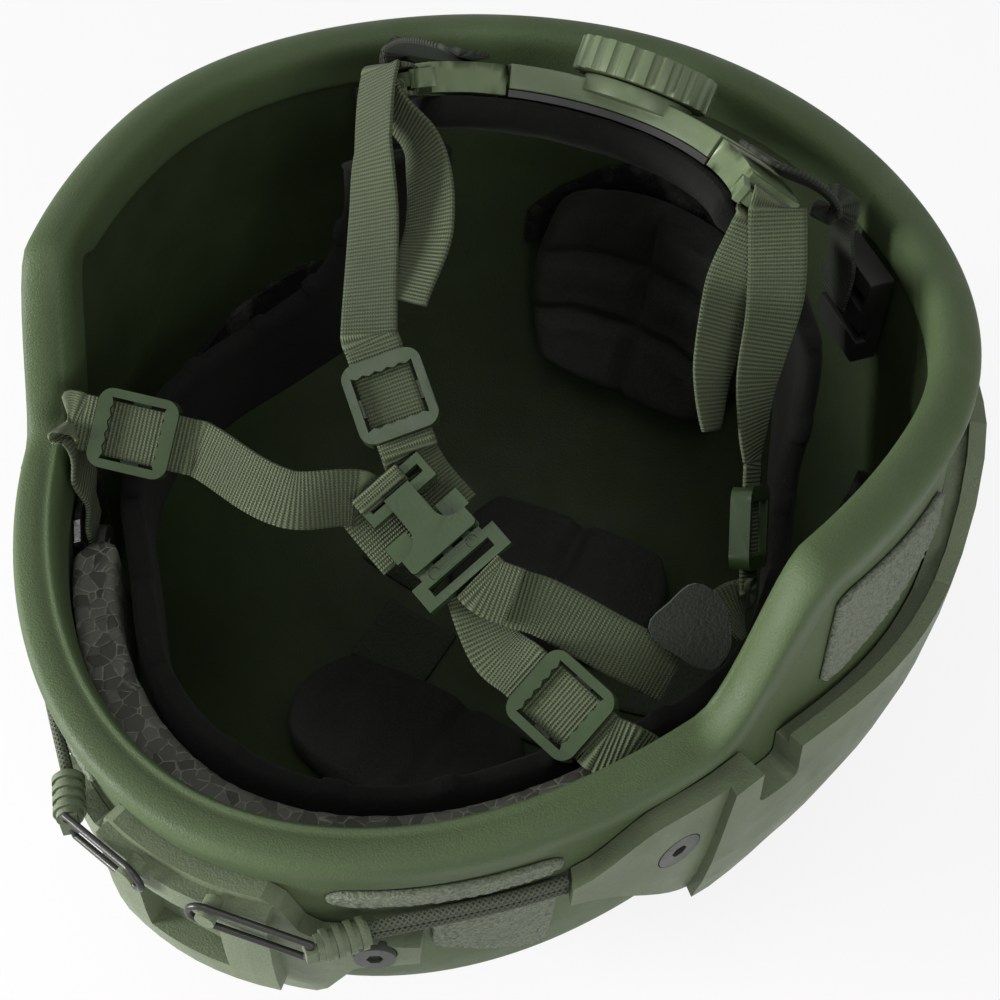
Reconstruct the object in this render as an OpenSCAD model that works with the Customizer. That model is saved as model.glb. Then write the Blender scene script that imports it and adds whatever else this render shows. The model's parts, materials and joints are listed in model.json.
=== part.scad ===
// Full cut combat helmet, lying on its crown with the opening up.
// Origin: centre of the helmet's footprint at the lowest point. -Y is the front, +X the wearer's right side.

/* [Shell] */
// Half width of the rim, mid wall
half_w = 117.6; // [112:0.2:124]
// Rim length in front of the widest place
front_len = 159; // [150:1:166]
// Rim length behind the widest place
rear_len = 104.3; // [98:0.1:110]
// Place of the widest section along the helmet
mid_y = 31.7; // [24:0.1:36]
// Place of the crown along the helmet
crown_y = 12.4; // [2:0.1:22]
// Exponent of the plan outline
plan_n = 1.93; // [1.8:0.01:2.2]
// Exponent of the dome profile
dome_m = 2.45; // [2.1:0.05:2.7]
// Height at which the wall stands upright
wall_z = 126; // [118:1:130]
// Shell thickness
shell_t = 8; // [6:0.5:9]
// Flare of the wall at the rim
rim_flare = 4; // [2:0.5:5]
// Height at which the flare starts
flare_z = 96; // [86:1:104]
// Bulge of the wall over the ears
ear_bulge = 5; // [0:0.5:8]
// Rim height above the crown at the brow
brow_z = 134.4; // [132:0.2:138]
// Rim height at the end of the brow
temple_z = 138; // [136:0.5:142]
// Rim height over the ears
ear_z = 182.3; // [176:0.1:188]
// Rim height at the nape
nape_z = 175.5; // [170:0.5:182]
// Place where the rim starts to rise
rise_y0 = -52.2; // [-60:0.1:-46]
// Place where the rise ends
rise_y1 = -22.6; // [-32:0.1:-16]

/* [Edge trim] */
// Wall of the rubber trim
trim_t = 2.3; // [1.6:0.1:3]
// Leg length of the trim
trim_leg = 12.5; // [9:0.5:15]
// Air between the trim and the shell
trim_gap = 0.3; // [0.2:0.05:0.5]

/* [Liner] */
// Thickness of the bead foam block
bead_t = 12.7; // [9:0.1:14]
// Depth of the bead foam block
bead_h = 34; // [24:1:44]
// Half angle that the bead foam block covers
bead_a = 39; // [30:1:40]
// Thickness of the headband
band_t = 7; // [5:0.5:9]
// Depth of the headband
band_h = 32; // [24:1:40]
// Thickness of a comfort pad
pad_t = 17; // [12:0.5:20]
// Air between soft pieces and what carries them
soft_gap = 0.5; // [0.3:0.1:1]
// Thickness of hook and loop tape
loop_t = 1.6; // [1:0.1:2]
// Thickness of the black plastic frame strips
frame_t = 2; // [1.5:0.1:2.5]

/* [Rails and shroud] */
// Thickness of a rail over the ear
rail_t = 9; // [8:0.5:12]
// Thickness of a rail at its front plate
rail_front_t = 6; // [5.5:0.5:7]
// Radius of the screw heads
head_r = 5.2; // [4:0.1:5.6]
// Radius of the heads of the rail screws
rail_head_r = 6.2; // [5:0.1:6.6]
// Radius of the screw shanks
shank_r = 2.5; // [2:0.1:3]
// Clearance round a screw
screw_gap = 0.3; // [0.2:0.05:0.5]
// Radius of the lanyard eye in a rail
eye_r = 2.1; // [1.6:0.1:2.6]
// Thickness of the shroud plate
shroud_t = 5; // [4:0.5:6]
// Height of the raised frame on the shroud
shroud_rise = 4; // [2:0.5:5]
// Radius of a bungee cord
cord_r = 1.5; // [1.2:0.1:1.8]
// Radius of the hook wire
wire_r = 0.9; // [0.7:0.1:1.1]
// Radius of a ribbed end piece
ferrule_r = 4.2; // [3.4:0.1:4.6]
// Running clearance of the hook's pin
pin_gap = 0.06; // [0.03:0.01:0.1]

/* [Webbing and buckles] */
// Width of the webbing
web_w = 15; // [14:1:18]
// Thickness of the webbing
web_t = 1.4; // [1:0.1:1.6]
// Play round the webbing in its fittings
web_gap = 0.4; // [0.3:0.05:0.6]
// Wall of the plastic fittings
fit_wall = 2.4; // [2:0.1:3]
// Length of a slider
slider_len = 22; // [20:1:25]
// Width of the buckle's cover
cover_w = 21; // [20:0.5:24]
// Half the gap between the buckle's two faces
buckle_gap = 2.4; // [2.2:0.1:2.8]
// Wall of the buckle's faces
buckle_wall = 1.6; // [1.3:0.1:1.8]

/* [Rear cradle] */
// Radius of the cradle's near edge
cradle_r = 54; // [51:1:57]
// Sideways place of the cradle
cradle_x = 3; // [0:1:6]
// Place of the cradle's axis along the helmet
cradle_y = 43.9; // [38:0.1:46]
// Height of the cradle's axis
cradle_z = 215; // [212:1:220]
// Pitch of the cradle, front end up
cradle_pitch = 22; // [18:1:26]
// Lean of the cradle's wall
cradle_lean = 65; // [60:1:70]
// Thickness of the cradle housing
house_t = 9; // [8:0.5:10]
// Height of the cradle housing
house_h = 17; // [17:0.5:20]
// Half angle of the cradle housing
house_a = 36; // [34:1:38]
// Radius of the dial
dial_r = 20; // [18:0.5:21]
// Thickness of the dial
dial_t = 9; // [8:0.5:10]
// Number of grips round the dial
dial_grips = 22; // [18:1:28]
// Radius of the drive wheel
drive_r = 4.2; // [3.8:0.1:4.6]
// Running clearance of the dial's shaft
shaft_gap = 0.08; // [0.03:0.01:0.1]

/* [Hidden] */

green = [0.24, 0.30, 0.20];
dark = [0.08, 0.085, 0.08];
loop_green = [0.30, 0.36, 0.26];
steel = [0.12, 0.12, 0.12];

// Shell surface. Angle 0 is the front and grows towards the wearer's right side.
function lim(v, lo, hi) = min(max(v, lo), hi);
function ease(t) = let(u = lim(t, 0, 1)) u * u * (3 - 2 * u);
function plan_r(a) = let(b = cos(a) > 0 ? front_len : rear_len)
    1 / pow(pow(abs(sin(a)) / half_w, plan_n) + pow(abs(cos(a)) / b, plan_n), 1 / plan_n);
function rim_y(a) = mid_y - plan_r(a) * cos(a);
function rim_z(a) = let(y = rim_y(a))
    temple_z + (brow_z - temple_z) * ease((rise_y0 - y) / (rise_y0 - mid_y + front_len))
    + (ear_z - temple_z) * ease((y - rise_y0) / (rise_y1 - rise_y0))
    + (nape_z - ear_z) * ease((y - rise_y1) / (mid_y + rear_len - rise_y1));
function dome(z) = z < wall_z ? pow(1 - pow((wall_z - max(z, 0)) / wall_z, dome_m), 1 / dome_m) : 1;
function flare(a, z) = rim_flare * pow(lim((z - flare_z) / (rim_z(a) - flare_z), 0, 1.05), 2);
function bulge(a, z) = ear_bulge * ease((45 - abs(abs(a > 180 ? a - 360 : a) - 92)) / 40)
    * ease((z - 45) / 60) * (1 - 0.75 * ease((z - 125) / 55));
function axis_y(z) = crown_y + (mid_y - crown_y) * lim(z / wall_z, 0, 1);
function base(a, z) = let(r = plan_r(a) * dome(z) + flare(a, z) + bulge(a, z))
    [r * sin(a), axis_y(z) - r * cos(a), z];
function normal(a, z) = let(
    t = base(a, z + 0.5) - base(a, z - 0.5),
    h = [sin(a), -cos(a), 0],
    n = h * t[2] - [0, 0, t * h])
    n / norm(n);
function on(a, z, off) = base(a, z) + off * normal(a, z);

// Closed solid through rows of points: each row is k points on one face and k on the other, in a ring.
module rows_solid(rows, closed = false) {
    n = len(rows);
    m = len(rows[0]);
    k = m / 2;
    last = closed ? n - 1 : n - 2;
    sides = [for (i = [0:last]) for (j = [0:m - 1])
        let(a = i * m + j, b = i * m + (j + 1) % m, c = ((i + 1) % n) * m + (j + 1) % m,
            d = ((i + 1) % n) * m + j)
        each [[a, c, b], [a, d, c]]];
    caps = closed ? [] : [for (e = [0, n - 1]) for (j = [0:k - 2])
        let(a = e * m + j, b = e * m + j + 1, c = e * m + m - 2 - j, d = e * m + m - 1 - j)
        each e == 0 ? [[a, b, c], [a, c, d]] : [[a, c, b], [a, d, c]]];
    polyhedron(points = [for (r = rows) each r], faces = concat(sides, caps), convexity = 8);
}

// Slab that follows the shell from angle a0 to a1, between zlo(t) and zhi(t) for t from 0 to 1.
function slab_rows(a0, a1, cols, zlo, zhi, off_in, off_out, k) = [for (i = [0:cols])
    let(t = i / cols, a = a0 + (a1 - a0) * t, lo = zlo(t), hi = zhi(t))
    concat([for (j = [0:k - 1]) on(a, lo + (hi - lo) * j / (k - 1), off_in(t, j / (k - 1)))],
        [for (j = [k - 1:-1:0]) on(a, lo + (hi - lo) * j / (k - 1), off_out(t, j / (k - 1)))])];

function toward(v) = norm(v) < 0.000001 ? v : v / norm(v);
// Curve from p1 to p2; its slopes keep to the length of the segment, so it never folds back.
function cubic(p0, p1, p2, p3, t) = let(d = norm(p2 - p1), m1 = d * toward(p2 - p0), m2 = d * toward(p3 - p1))
    (2 * t * t * t - 3 * t * t + 1) * p1 + (t * t * t - 2 * t * t + t) * m1
    + (3 * t * t - 2 * t * t * t) * p2 + (t * t * t - t * t) * m2;
function spline(P, n) = concat([for (i = [0:len(P) - 2]) for (j = [0:n - 1])
    cubic(P[max(i - 1, 0)], P[i], P[i + 1], P[min(i + 2, len(P) - 1)], j / n)], [P[len(P) - 1]]);
function unit(v) = v / norm(v);
function tangents(P) = [for (i = [0:len(P) - 1]) unit(P[min(i + 1, len(P) - 1)] - P[max(i - 1, 0)])];

// Flat webbing along points P with its width along the directions W.
module ribbon(P, W, n = 4, w = web_w, t = web_t) {
    S = spline(P, n);
    D = spline(W, n);
    T = tangents(S);
    rows_solid([for (i = [0:len(S) - 1])
        let(d = unit(D[i] - (D[i] * T[i]) * T[i]), q = cross(T[i], d))
        [S[i] - d * w / 2 - q * t / 2, S[i] + d * w / 2 - q * t / 2,
            S[i] + d * w / 2 + q * t / 2, S[i] - d * w / 2 + q * t / 2]]);
}

// Round cord along points P.
module cord(P, r, n = 3, sides = 8) {
    S = spline(P, n);
    T = tangents(S);
    rows_solid([for (i = [0:len(S) - 1])
        let(u = unit(cross(T[i], [0, 0, 1])), v = cross(T[i], u))
        [for (j = [0:sides - 1]) S[i] + r * (cos(j * 360 / sides) * u + sin(j * 360 / sides) * v)]]);
}

// Places children with +X along u, +Z near n, at p.
module pose(p, u, n) {
    x = unit(u);
    z = unit(n - (n * x) * x);
    y = cross(z, x);
    multmatrix([[x[0], y[0], z[0], p[0]], [x[1], y[1], z[1], p[1]], [x[2], y[2], z[2], p[2]], [0, 0, 0, 1]])
        children();
}

// Places children on the wall with +Z outward.
function across(a, z) = unit(base(a + 0.5, z) - base(a - 0.5, z));
function outward(a, z) = unit(cross(across(a, z), base(a, z + 0.5) - base(a, z - 0.5)));
module at_wall(a, z, off = 0) {
    pose(base(a, z) + off * outward(a, z), across(a, z), outward(a, z)) children();
}

// Shell
half_turn = concat([for (a = [0:5:35]) a], [for (a = [40:2.5:72.5]) a], [for (a = [75:5:180]) a]);
turn = concat(half_turn, [for (i = [len(half_turn) - 2:-1:1]) 360 - half_turn[i]]);
low_rows = 11;
wall_rows = 5;
function row_z(a, i) = i <= low_rows ? wall_z * (1 - pow(cos(90 * i / low_rows), 2 / dome_m))
    : wall_z + (rim_z(a) - wall_z) * (i - low_rows) / wall_rows;
rail_bolts = [[46.5, 105], [112, 120]];
blind_deep = 6;
shroud_bolt = [16.6, 97];

module shell_body() {
    m = low_rows + wall_rows;
    n = len(turn);
    ring = 2 * m;
    points = concat([for (a = turn) each concat([for (i = [1:m]) on(a, row_z(a, i), -shell_t)],
        [for (i = [m:-1:1]) on(a, row_z(a, i), 0)])], [[0, crown_y, shell_t], [0, crown_y, 0]]);
    sides = [for (i = [0:n - 1]) for (j = [0:ring - 2])
        let(a = i * ring + j, d = (i + 1) % n * ring + j)
        each [[a, d + 1, a + 1], [a, d, d + 1]]];
    poles = [for (i = [0:n - 1]) let(k = (i + 1) % n)
        each [[n * ring, k * ring, i * ring], [n * ring + 1, i * ring + ring - 1, k * ring + ring - 1]]];
    polyhedron(points = points, faces = concat(sides, poles), convexity = 8);
}

module shell() color(green) difference() {
    shell_body();
    for (s = [-1, 1]) {
        for (i = [0, 1])
            at_wall(s * rail_bolts[i][0], rail_bolts[i][1], i == 0 ? -14 : -blind_deep)
                cylinder(r = shank_r + screw_gap, h = 20, $fn = 32);
        at_wall(s * shroud_bolt[0], shroud_bolt[1], -14) cylinder(r = shank_r + screw_gap, h = 20, $fn = 32);
    }
}

// Edge trim, swept square to the rim with a tilt that is evened out over the steps
tilt_step = 8;
trim_top = trim_t + 0.6;
trim_profile = let(g = trim_gap, s = shell_t + trim_gap, t = trim_t, l = trim_leg) [
    [-s, -l], [-s - 0.8, -l], [-s - 0.75 * t, -l / 2], [-s - t, -1.5], [-s - 0.4 * t, 1.6], [-s + 2.2, trim_top],
    [-2.2, trim_top], [0.55 * t, 1.6], [g + t, -1.5], [g + 0.75 * t, -l / 2], [g + 0.8, -l], [g, -l],
    [g, -l / 2], [g, g], [-s, g], [-s, -l / 2]];
function rim_tilt(a) = let(p = base(a - tilt_step, rim_z(a - tilt_step)), q = base(a + tilt_step,
    rim_z(a + tilt_step)))
    atan2(q[2] - p[2], norm([q[0] - p[0], q[1] - p[1]]));
function trim_point(a, p) = let(t = rim_tilt(a), b = a - p[1] * sin(t) * 57.3 / plan_r(a))
    on(b, rim_z(a) + p[1] * cos(t), p[0]);
module edge_trim() color(green) rows_solid([for (a = turn) [for (p = trim_profile) trim_point(a, p)]], true);

// Accessory rails
rail_a0 = 35;
rail_a1 = 124;
function rail_hi(a) = 112 + 12 * ease((a - 35) / 9) - 4 * ease((a - 60) / 25) + 28 * ease((a - 92) / 14)
    - 12 * ease((a - 116) / 8);
function rail_lo(a) = 104 - 38 * ease((a - 34) / 24) + 5 * ease((a - 95) / 15) + 26 * ease((a - 114) / 10);
rail_inner = 0.5;
rail_mid = 5;
slot_depth = 4;
module rail_slab(a0, a1, off0, off1, inset, cols) {
    rows_solid(slab_rows(a0, a1, cols, function(t) rail_lo(a0 + (a1 - a0) * t) + inset,
        function(t) rail_hi(a0 + (a1 - a0) * t) - inset, function(t, s) off0, function(t, s) off1, 6));
}
module rail() color(green) difference() {
    union() {
        rail_slab(rail_a0, 58, rail_inner, rail_inner + rail_front_t, 0, 12);
        rail_slab(54, rail_a1 - 4, rail_inner, rail_mid + 0.4, slot_depth, 18);
        rail_slab(52, rail_a1, rail_mid, rail_inner + rail_t, 0, 20);
        eye_lug();
    }
    for (b = rail_bolts) {
        at_wall(b[0], b[1], -2) cylinder(r = shank_r + screw_gap, h = 20, $fn = 32);
        at_wall(b[0], b[1], seat_off) cylinder(r = rail_head_r + screw_gap, h = 20, $fn = 48);
    }
    at_wall(notch_a, notch_lo + notch_high / 2, -2) linear_extrude(24) rounded(notch_w, notch_high, notch_round);
    eye_bore();
}
seat_off = 3.6;
notch_a = 58;
notch_lo = 110;
notch_high = 20;
notch_w = 13;
notch_round = 3;
eye_at = [119, 112];
eye_t = 4;
module eye_place() {
    p = on(eye_at[0], eye_at[1], rail_inner + rail_t);
    translate([p[0], p[1], p[2]]) rotate([0, 0, eye_at[0] - 90]) children();
}
module eye_lug() eye_place() {
    translate([4.5, 0, 0]) cylinder(r = 4.8, h = eye_t, $fn = 32, center = true);
    translate([-1, 0, 0]) cube([11, 9.6, eye_t], center = true);
}
module eye_bore() eye_place() translate([4.8, 0, -10]) cylinder(r = eye_r, h = 20, $fn = 32);
module rail_right() rail();
module rail_left() mirror([1, 0, 0]) rail();

// Screws and nuts
head_h = 2.7;
module screw(tail, r = head_r) {
    difference() {
        cylinder(r = r, h = head_h, $fn = 48);
        translate([0, 0, head_h - 1.4]) cylinder(r = 2.3, h = 3, $fn = 6);
    }
    translate([0, 0, -tail]) cylinder(r = shank_r, h = tail + 0.1, $fn = 32);
}
screw_tail = 18.5;
module rail_screws() color(steel) for (s = [-1, 1]) for (i = [0, 1])
    at_wall(s * rail_bolts[i][0], rail_bolts[i][1], seat_off)
        screw(i == 0 ? screw_tail : seat_off + blind_deep - 1, rail_head_r);
nut_gap = 0.1;
module nut() difference() {
    cylinder(r = 6.2, h = 3, $fn = 48);
    translate([0, 0, -1]) cylinder(r = shank_r + nut_gap, h = 6, $fn = 32);
}
anchor_t = 2;
module rail_nuts() color(steel) for (s = [-1, 1])
    at_wall(s * rail_bolts[0][0], rail_bolts[0][1], -wall_off - anchor_t - 3.6) nut();
shroud_seat = shroud_t - 1.2;
module shroud_screws() color(steel) for (s = [-1, 1])
    at_wall(s * shroud_bolt[0], shroud_bolt[1], shroud_seat) screw(shroud_seat + shell_t - 1);

// Front shroud
function shroud_hi(a) = 121 - 17 * ease((abs(a) - 8) / 3.5) - 5 * ease((abs(a) - 15) / 6);
function shroud_lo(a) = 84 - 20 * ease((abs(a) - 1.5) / 6) + 26 * ease((abs(a) - 10) / 6);
frame_lo = 78;
frame_hi = 118;
pocket_w = 24;
pocket_lo = 86;
pocket_hi = 110;
module nvg_shroud() color(green) difference() {
    union() {
        rows_solid(slab_rows(-21, 21, 28, function(t) shroud_lo(-21 + 42 * t), function(t) shroud_hi(-21 + 42 * t),
            function(t, s) 0.3, function(t, s) 0.3 + shroud_t, 6));
        rows_solid(slab_rows(-8.5, 8.5, 8, function(t) frame_lo, function(t) frame_hi,
            function(t, s) 0.6, function(t, s) 0.3 + shroud_t + shroud_rise, 6));
        for (s = [-1, 1])
            tab_post(s);
    }
    at_wall(0, (pocket_lo + pocket_hi) / 2, 2.5 + 10) cube([pocket_w, pocket_hi - pocket_lo, 20], center = true);
    for (s = [-1, 1]) {
        at_wall(s * shroud_bolt[0], shroud_bolt[1], -2) cylinder(r = shank_r + screw_gap, h = 20, $fn = 32);
        at_wall(s * shroud_bolt[0], shroud_bolt[1], shroud_seat) cylinder(r = head_r + screw_gap, h = 9, $fn = 48);
    }
}

// Bungee hooks: the wire goes round a post at the top of the shroud
post_a = 3.6;
post_z = 117;
post_off = 9;
hook_off = 11.5;
hook_half = 4;
hook_from = [12.2, 110];
hook_gap = 0.5;
module tab_post(s) at_wall(s * post_a, post_z, post_off - 2) cylinder(r = hook_half - wire_r - hook_gap, h = 6.2,
    $fn = 32);
hook_p = on(hook_from[0], hook_from[1], hook_off);
hook_q = on(post_a, post_z, hook_off);
hook_len = norm(hook_q - hook_p);
module hook_place() pose(hook_p, hook_q - hook_p, normal(9, 113)) children();
module hook() color(steel) hook_place() {
    for (s = [-1, 1])
        translate([0, s * hook_half, 0]) rotate([0, 90, 0]) cylinder(r = wire_r, h = hook_len, $fn = 24);
    translate([hook_len, 0, 0]) rotate([0, 0, -90]) rotate_extrude(angle = 180, $fn = 48)
        translate([hook_half, 0]) circle(r = wire_r, $fn = 24);
    translate([0, -hook_half, 0]) rotate([-90, 0, 0]) cylinder(r = wire_r, h = 2 * hook_half, $fn = 24);
    for (s = [-1, 1])
        translate([0, s * hook_half, 0]) sphere(r = wire_r, $fn = 24);
}
module hook_right() hook();
module hook_left() mirror([1, 0, 0]) hook();
ferrule_len = 13;
ferrule_back = 2;
ferrule_to = on(16.2, 109.5, 5.5);
module ferrule() color(green) difference() {
    pose(hook_p, ferrule_to - hook_p, normal(14, 110)) {
        translate([ferrule_back, 0, 0]) rotate([0, 90, 0]) cylinder(r = ferrule_r - 0.8, h = ferrule_len, $fn = 32);
        for (i = [0:3])
            translate([ferrule_back + 1.6 + i * 3, 0, 0]) rotate([0, 90, 0])
                cylinder(r = ferrule_r, h = 1.6, $fn = 32);
        translate([-1, -2.4, -2.2]) cube([4, 4.8, 4.4]);
    }
    hook_place() translate([0, -8, 0]) rotate([-90, 0, 0]) cylinder(r = wire_r + pin_gap, h = 16, $fn = 24);
}
module ferrule_right() ferrule();
module ferrule_left() mirror([1, 0, 0]) ferrule();
cord_gap = 1.7;
cord_start = hook_p + (ferrule_back + ferrule_len + 0.3) * unit(ferrule_to - hook_p);
module bungee() color(green) for (s = [-1, 1])
    cord([cord_start + [0, 0, s * cord_gap], on(24, 109 + s * cord_gap, cord_r + 0.8),
        on(29, 108.6 + s * cord_gap, cord_r + 0.6), on(rail_a0 - 0.3, 108 + s * cord_gap, cord_r + 1)], cord_r, 3);
module bungee_right() bungee();
module bungee_left() mirror([1, 0, 0]) bungee();

// Hook and loop tape on the outside
loop_off = 0.3;
module loop_patch(a0, a1, cols, lo, hi) color(loop_green) rows_solid(slab_rows(a0, a1, cols, lo, hi,
    function(t, s) loop_off, function(t, s) loop_off + loop_t, 4));
function corner(t) = 3 * pow(abs(2 * t - 1), 12);
module loop_strip() loop_patch(12.5, 34, 10, function(t) 114.5 + corner(t), function(t) 121 - corner(t));
module loop_front() loop_patch(21.8, 34, 8, function(t) 92 - 20 * t + corner(t), function(t) 105 - corner(t));
module loop_side() loop_patch(67, 92, 12, function(t) 127 + 14 * t + corner(t), function(t) 165 - 10 * t - corner(t));
module loop_strip_right() loop_strip();
module loop_strip_left() mirror([1, 0, 0]) loop_strip();
module loop_front_right() loop_front();
module loop_front_left() mirror([1, 0, 0]) loop_front();
module loop_side_right() loop_side();
module loop_side_left() mirror([1, 0, 0]) loop_side();

// Bead foam block at the brow
bead_top = 120.8;
bead_off = shell_t + 0.8;
module bead_foam() color(dark) rows_solid(slab_rows(-bead_a, bead_a, 18, function(t) bead_top - bead_h,
    function(t) bead_top, function(t, s) -bead_off - bead_t, function(t, s) -bead_off, 4));

// Headband: centre line from the right rear end round the front, with its width upright
band_right = [[61, 69.9, 174], [68, 67.9, 158], [73, 60.9, 138], [77, 49.9, 120], [84, 31.9, 108], [91, 11.9, 104],
    [93, -12.1, 104], [84, -38.1, 104], [66, -60.1, 104], [40, -87.6, 104], [14, -99.6, 104]];
band_left = [[-14, -99.6, 104], [-40, -87.6, 104], [-66, -60.1, 104], [-84, -38.1, 104], [-93, -12.1, 104],
    [-90, 11.9, 104], [-80, 31.9, 108], [-67, 45.9, 120], [-57, 53.9, 138], [-52, 57.9, 158], [-52, 59.9, 174]];
band_up = [[0.6, -0.75, 0.2], [0.6, -0.7, 0.3], [0.4, -0.6, 0.6], [0.2, -0.4, 0.9], [0, -0.1, 1], [0, 0, 1],
    [0, 0, 1], [0, 0, 1], [0, 0, 1], [0, 0, 1], [0, 0, 1]];
band_ups = concat(band_up, [for (i = [len(band_up) - 1:-1:0]) [-band_up[i][0], band_up[i][1], band_up[i][2]]]);
// The brow end of the headband follows the length of the front.
band_front = (front_len - mid_y) / 127.3;
band_path = [for (p = concat(band_right, band_left)) [p[0], p[1] * (p[1] < 0 ? band_front : 1), p[2]]];
module soft_strip(P, W, n, w, t, e) {
    S = spline(P, n);
    D = spline(W, n);
    T = tangents(S);
    h = w / 2;
    rows_solid([for (i = [0:len(S) - 1])
        let(d = unit(D[i] - (D[i] * T[i]) * T[i]), q = cross(T[i], d))
        [for (c = [[-h + e, -1], [h - e, -1], [h, -0.45], [h, 0.45], [h - e, 1], [-h + e, 1], [-h, 0.45], [-h, -0.45]])
            S[i] + d * c[0] + q * c[1] * t / 2]]);
}
module headband() color(dark)
    soft_strip(band_path, band_ups, 3, band_h, band_t, 2);

// Comfort pads
function edge_fall(u, p) = sqrt(max(0, 1 - pow(abs(2 * u - 1), p)));
function groove(u, at, w) = 1 - 0.55 * (1 - ease(abs(u - at) / w));
rear_out = shell_t + frame_t + 1.3;
rear_lo = 56;
rear_hi = 132;
function rear_depth(t, s) = -rear_out - pad_t * (0.35 + 0.65 * min(edge_fall(t, 6), edge_fall(s, 6)))
    * groove(t, 0.5, 0.055) * groove(s, 0.36, 0.055) * groove(s, 0.68, 0.055);
module pad_rear() color(dark) rows_solid(slab_rows(151, 203, 18, function(t) rear_lo + 4 * pow(2 * t - 1, 4),
    function(t) rear_hi - 12 * pow(abs(2 * t - 1), 4), rear_depth_fn, function(t, s) -rear_out, 18));
rear_depth_fn = function(t, s) rear_depth(t, s);

function dome_z(q) = wall_z * (1 - pow(1 - pow(min(q, 0.98), dome_m), 1 / dome_m));
function dome_slope(q, r) = (dome_z(q + 0.01) - dome_z(q)) / (0.01 * r);
function floor_step(x, y, z, s, n) = let(c = axis_y(z), r = plan_r(atan2(x, c - y)),
    e = norm([x, y - c]) + shell_t * s / sqrt(1 + s * s), z2 = dome_z(e / r), s2 = dome_slope(e / r, r))
    n == 0 ? z2 + shell_t / sqrt(1 + s2 * s2) : floor_step(x, y, z2, s2, n - 1);
function shell_floor(x, y) = floor_step(x, y, 0, 0, 6);
module floor_pad(c, w, d, cols, k, groove_at) {
    rows_solid([for (i = [0:cols]) let(t = i / cols, hw = d / 2 * (0.55 + 0.45 * edge_fall(t, 3)))
        concat([for (j = [0:k - 1]) let(p = c + [(t - 0.5) * w, (2 * j / (k - 1) - 1) * hw])
            [p[0], p[1], shell_floor(p[0], p[1]) + floor_gap]],
            [for (j = [k - 1:-1:0]) let(p = c + [(t - 0.5) * w, (2 * j / (k - 1) - 1) * hw], s = j / (k - 1))
                [p[0], p[1], shell_floor(p[0], p[1]) + floor_gap + pad_t * (0.35 + 0.65
                    * min(edge_fall(t, 4), edge_fall(s, 5))) * groove(t, groove_at, 0.06)]])]);
}
floor_gap = loop_t + 2 * soft_gap;
module pad_crown() color(dark) floor_pad([7, 48.9], 78, 44, 16, 12, 0.5);
module pad_front() color(dark) floor_pad([-5, -27.6], 80, 50, 16, 12, 0.62);
module pad_loops() color(loop_green) for (c = [[-29, 10], [31, 10], [-44, 42], [58, 32], [45, -38],
    [7, 49], [-5, -27.5]])
    rows_solid([for (i = [0:4]) let(x = c[0] + 25 * (i / 4 - 0.5))
        concat([for (j = [0:4]) let(y = c[1] + 25 * (j / 4 - 0.5)) [x, y, shell_floor(x, y) + soft_gap]],
            [for (j = [4:-1:0]) let(y = c[1] + 25 * (j / 4 - 0.5)) [x, y, shell_floor(x, y) + soft_gap + loop_t]])]);

// Glossy strips on the inner wall
wall_off = shell_t + 0.8;
module frame_strip() color(steel) rows_solid(slab_rows(86, 118, 12, function(t) 68 + 12 * t + corner(t),
    function(t) 90 + 12 * t - corner(t), function(t, s) -wall_off - frame_t, function(t, s) -wall_off, 4));
module frame_strip_right() frame_strip();
module frame_strip_left() mirror([1, 0, 0]) frame_strip();
module frame_arch() color(steel) rows_solid(slab_rows(158, 205, 16, function(t) 100 + 12 * sin(180 * t),
    function(t) 112 + 26 * sin(180 * t), function(t, s) -wall_off - frame_t, function(t, s) -wall_off, 4));

// Front strap anchors, held by the front rail screws
module anchor() color(steel) difference() {
    rows_solid(slab_rows(40.4, 53, 6, function(t) 96 + corner(t), function(t) 123 - corner(t),
        function(t, s) -wall_off - anchor_t, function(t, s) -wall_off, 4));
    at_wall(rail_bolts[0][0], rail_bolts[0][1], -16) cylinder(r = shank_r + screw_gap, h = 12, $fn = 32);
}
module anchor_right() anchor();
module anchor_left() mirror([1, 0, 0]) anchor();

// Nape brackets
bracket_at = [131, 148];
bracket_off = shell_t + 9.2;
module bracket() color(steel) at_wall(bracket_at[0], bracket_at[1], -bracket_off) difference() {
    translate([-11, -15, 0]) cube([22, 30, 7.6]);
    translate([-9.6, 4, -1]) cube([19.2, 5, 20]);
    translate([-12, -7, -1]) cube([24, 4, 4]);
}
module nape_bracket_right() bracket();
module nape_bracket_left() mirror([1, 0, 0]) bracket();

// Rear cradle in its own frame: arc axis Z, rear +Y. u runs down the outer face, v into the wall.
function sec(u, v) = [cradle_r + sin(cradle_lean) * u - cos(cradle_lean) * v,
    -cos(cradle_lean) * u - sin(cradle_lean) * v];
function cradle_pt(f, u, v) = let(s = sec(u, v), x = s[0] * sin(f), y = s[0] * cos(f))
    [cradle_x + x, cradle_y + y * cos(cradle_pitch) + s[1] * sin(cradle_pitch),
        cradle_z - y * sin(cradle_pitch) + s[1] * cos(cradle_pitch)];
module cradle_place() translate([cradle_x, cradle_y, cradle_z]) rotate([-cradle_pitch, 0, 0]) children();
module arc_box(f0, f1, u0, u1, v0, v1) rotate([0, 0, 90 - f1]) rotate_extrude(angle = f1 - f0, $fn = 96)
    polygon([sec(u0, v0), sec(u1, v0), sec(u1, v1), sec(u0, v1)]);
dial_u = house_h / 2;
channel_half = 5.4;
house_v = 6.8;
module at_dial() translate([0, sec(dial_u, 0)[0], sec(dial_u, 0)[1]]) rotate([cradle_lean - 90, 0, 0]) children();
shaft_r = 3;
boss_h = 0.8;
boss_r = 16;
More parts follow.
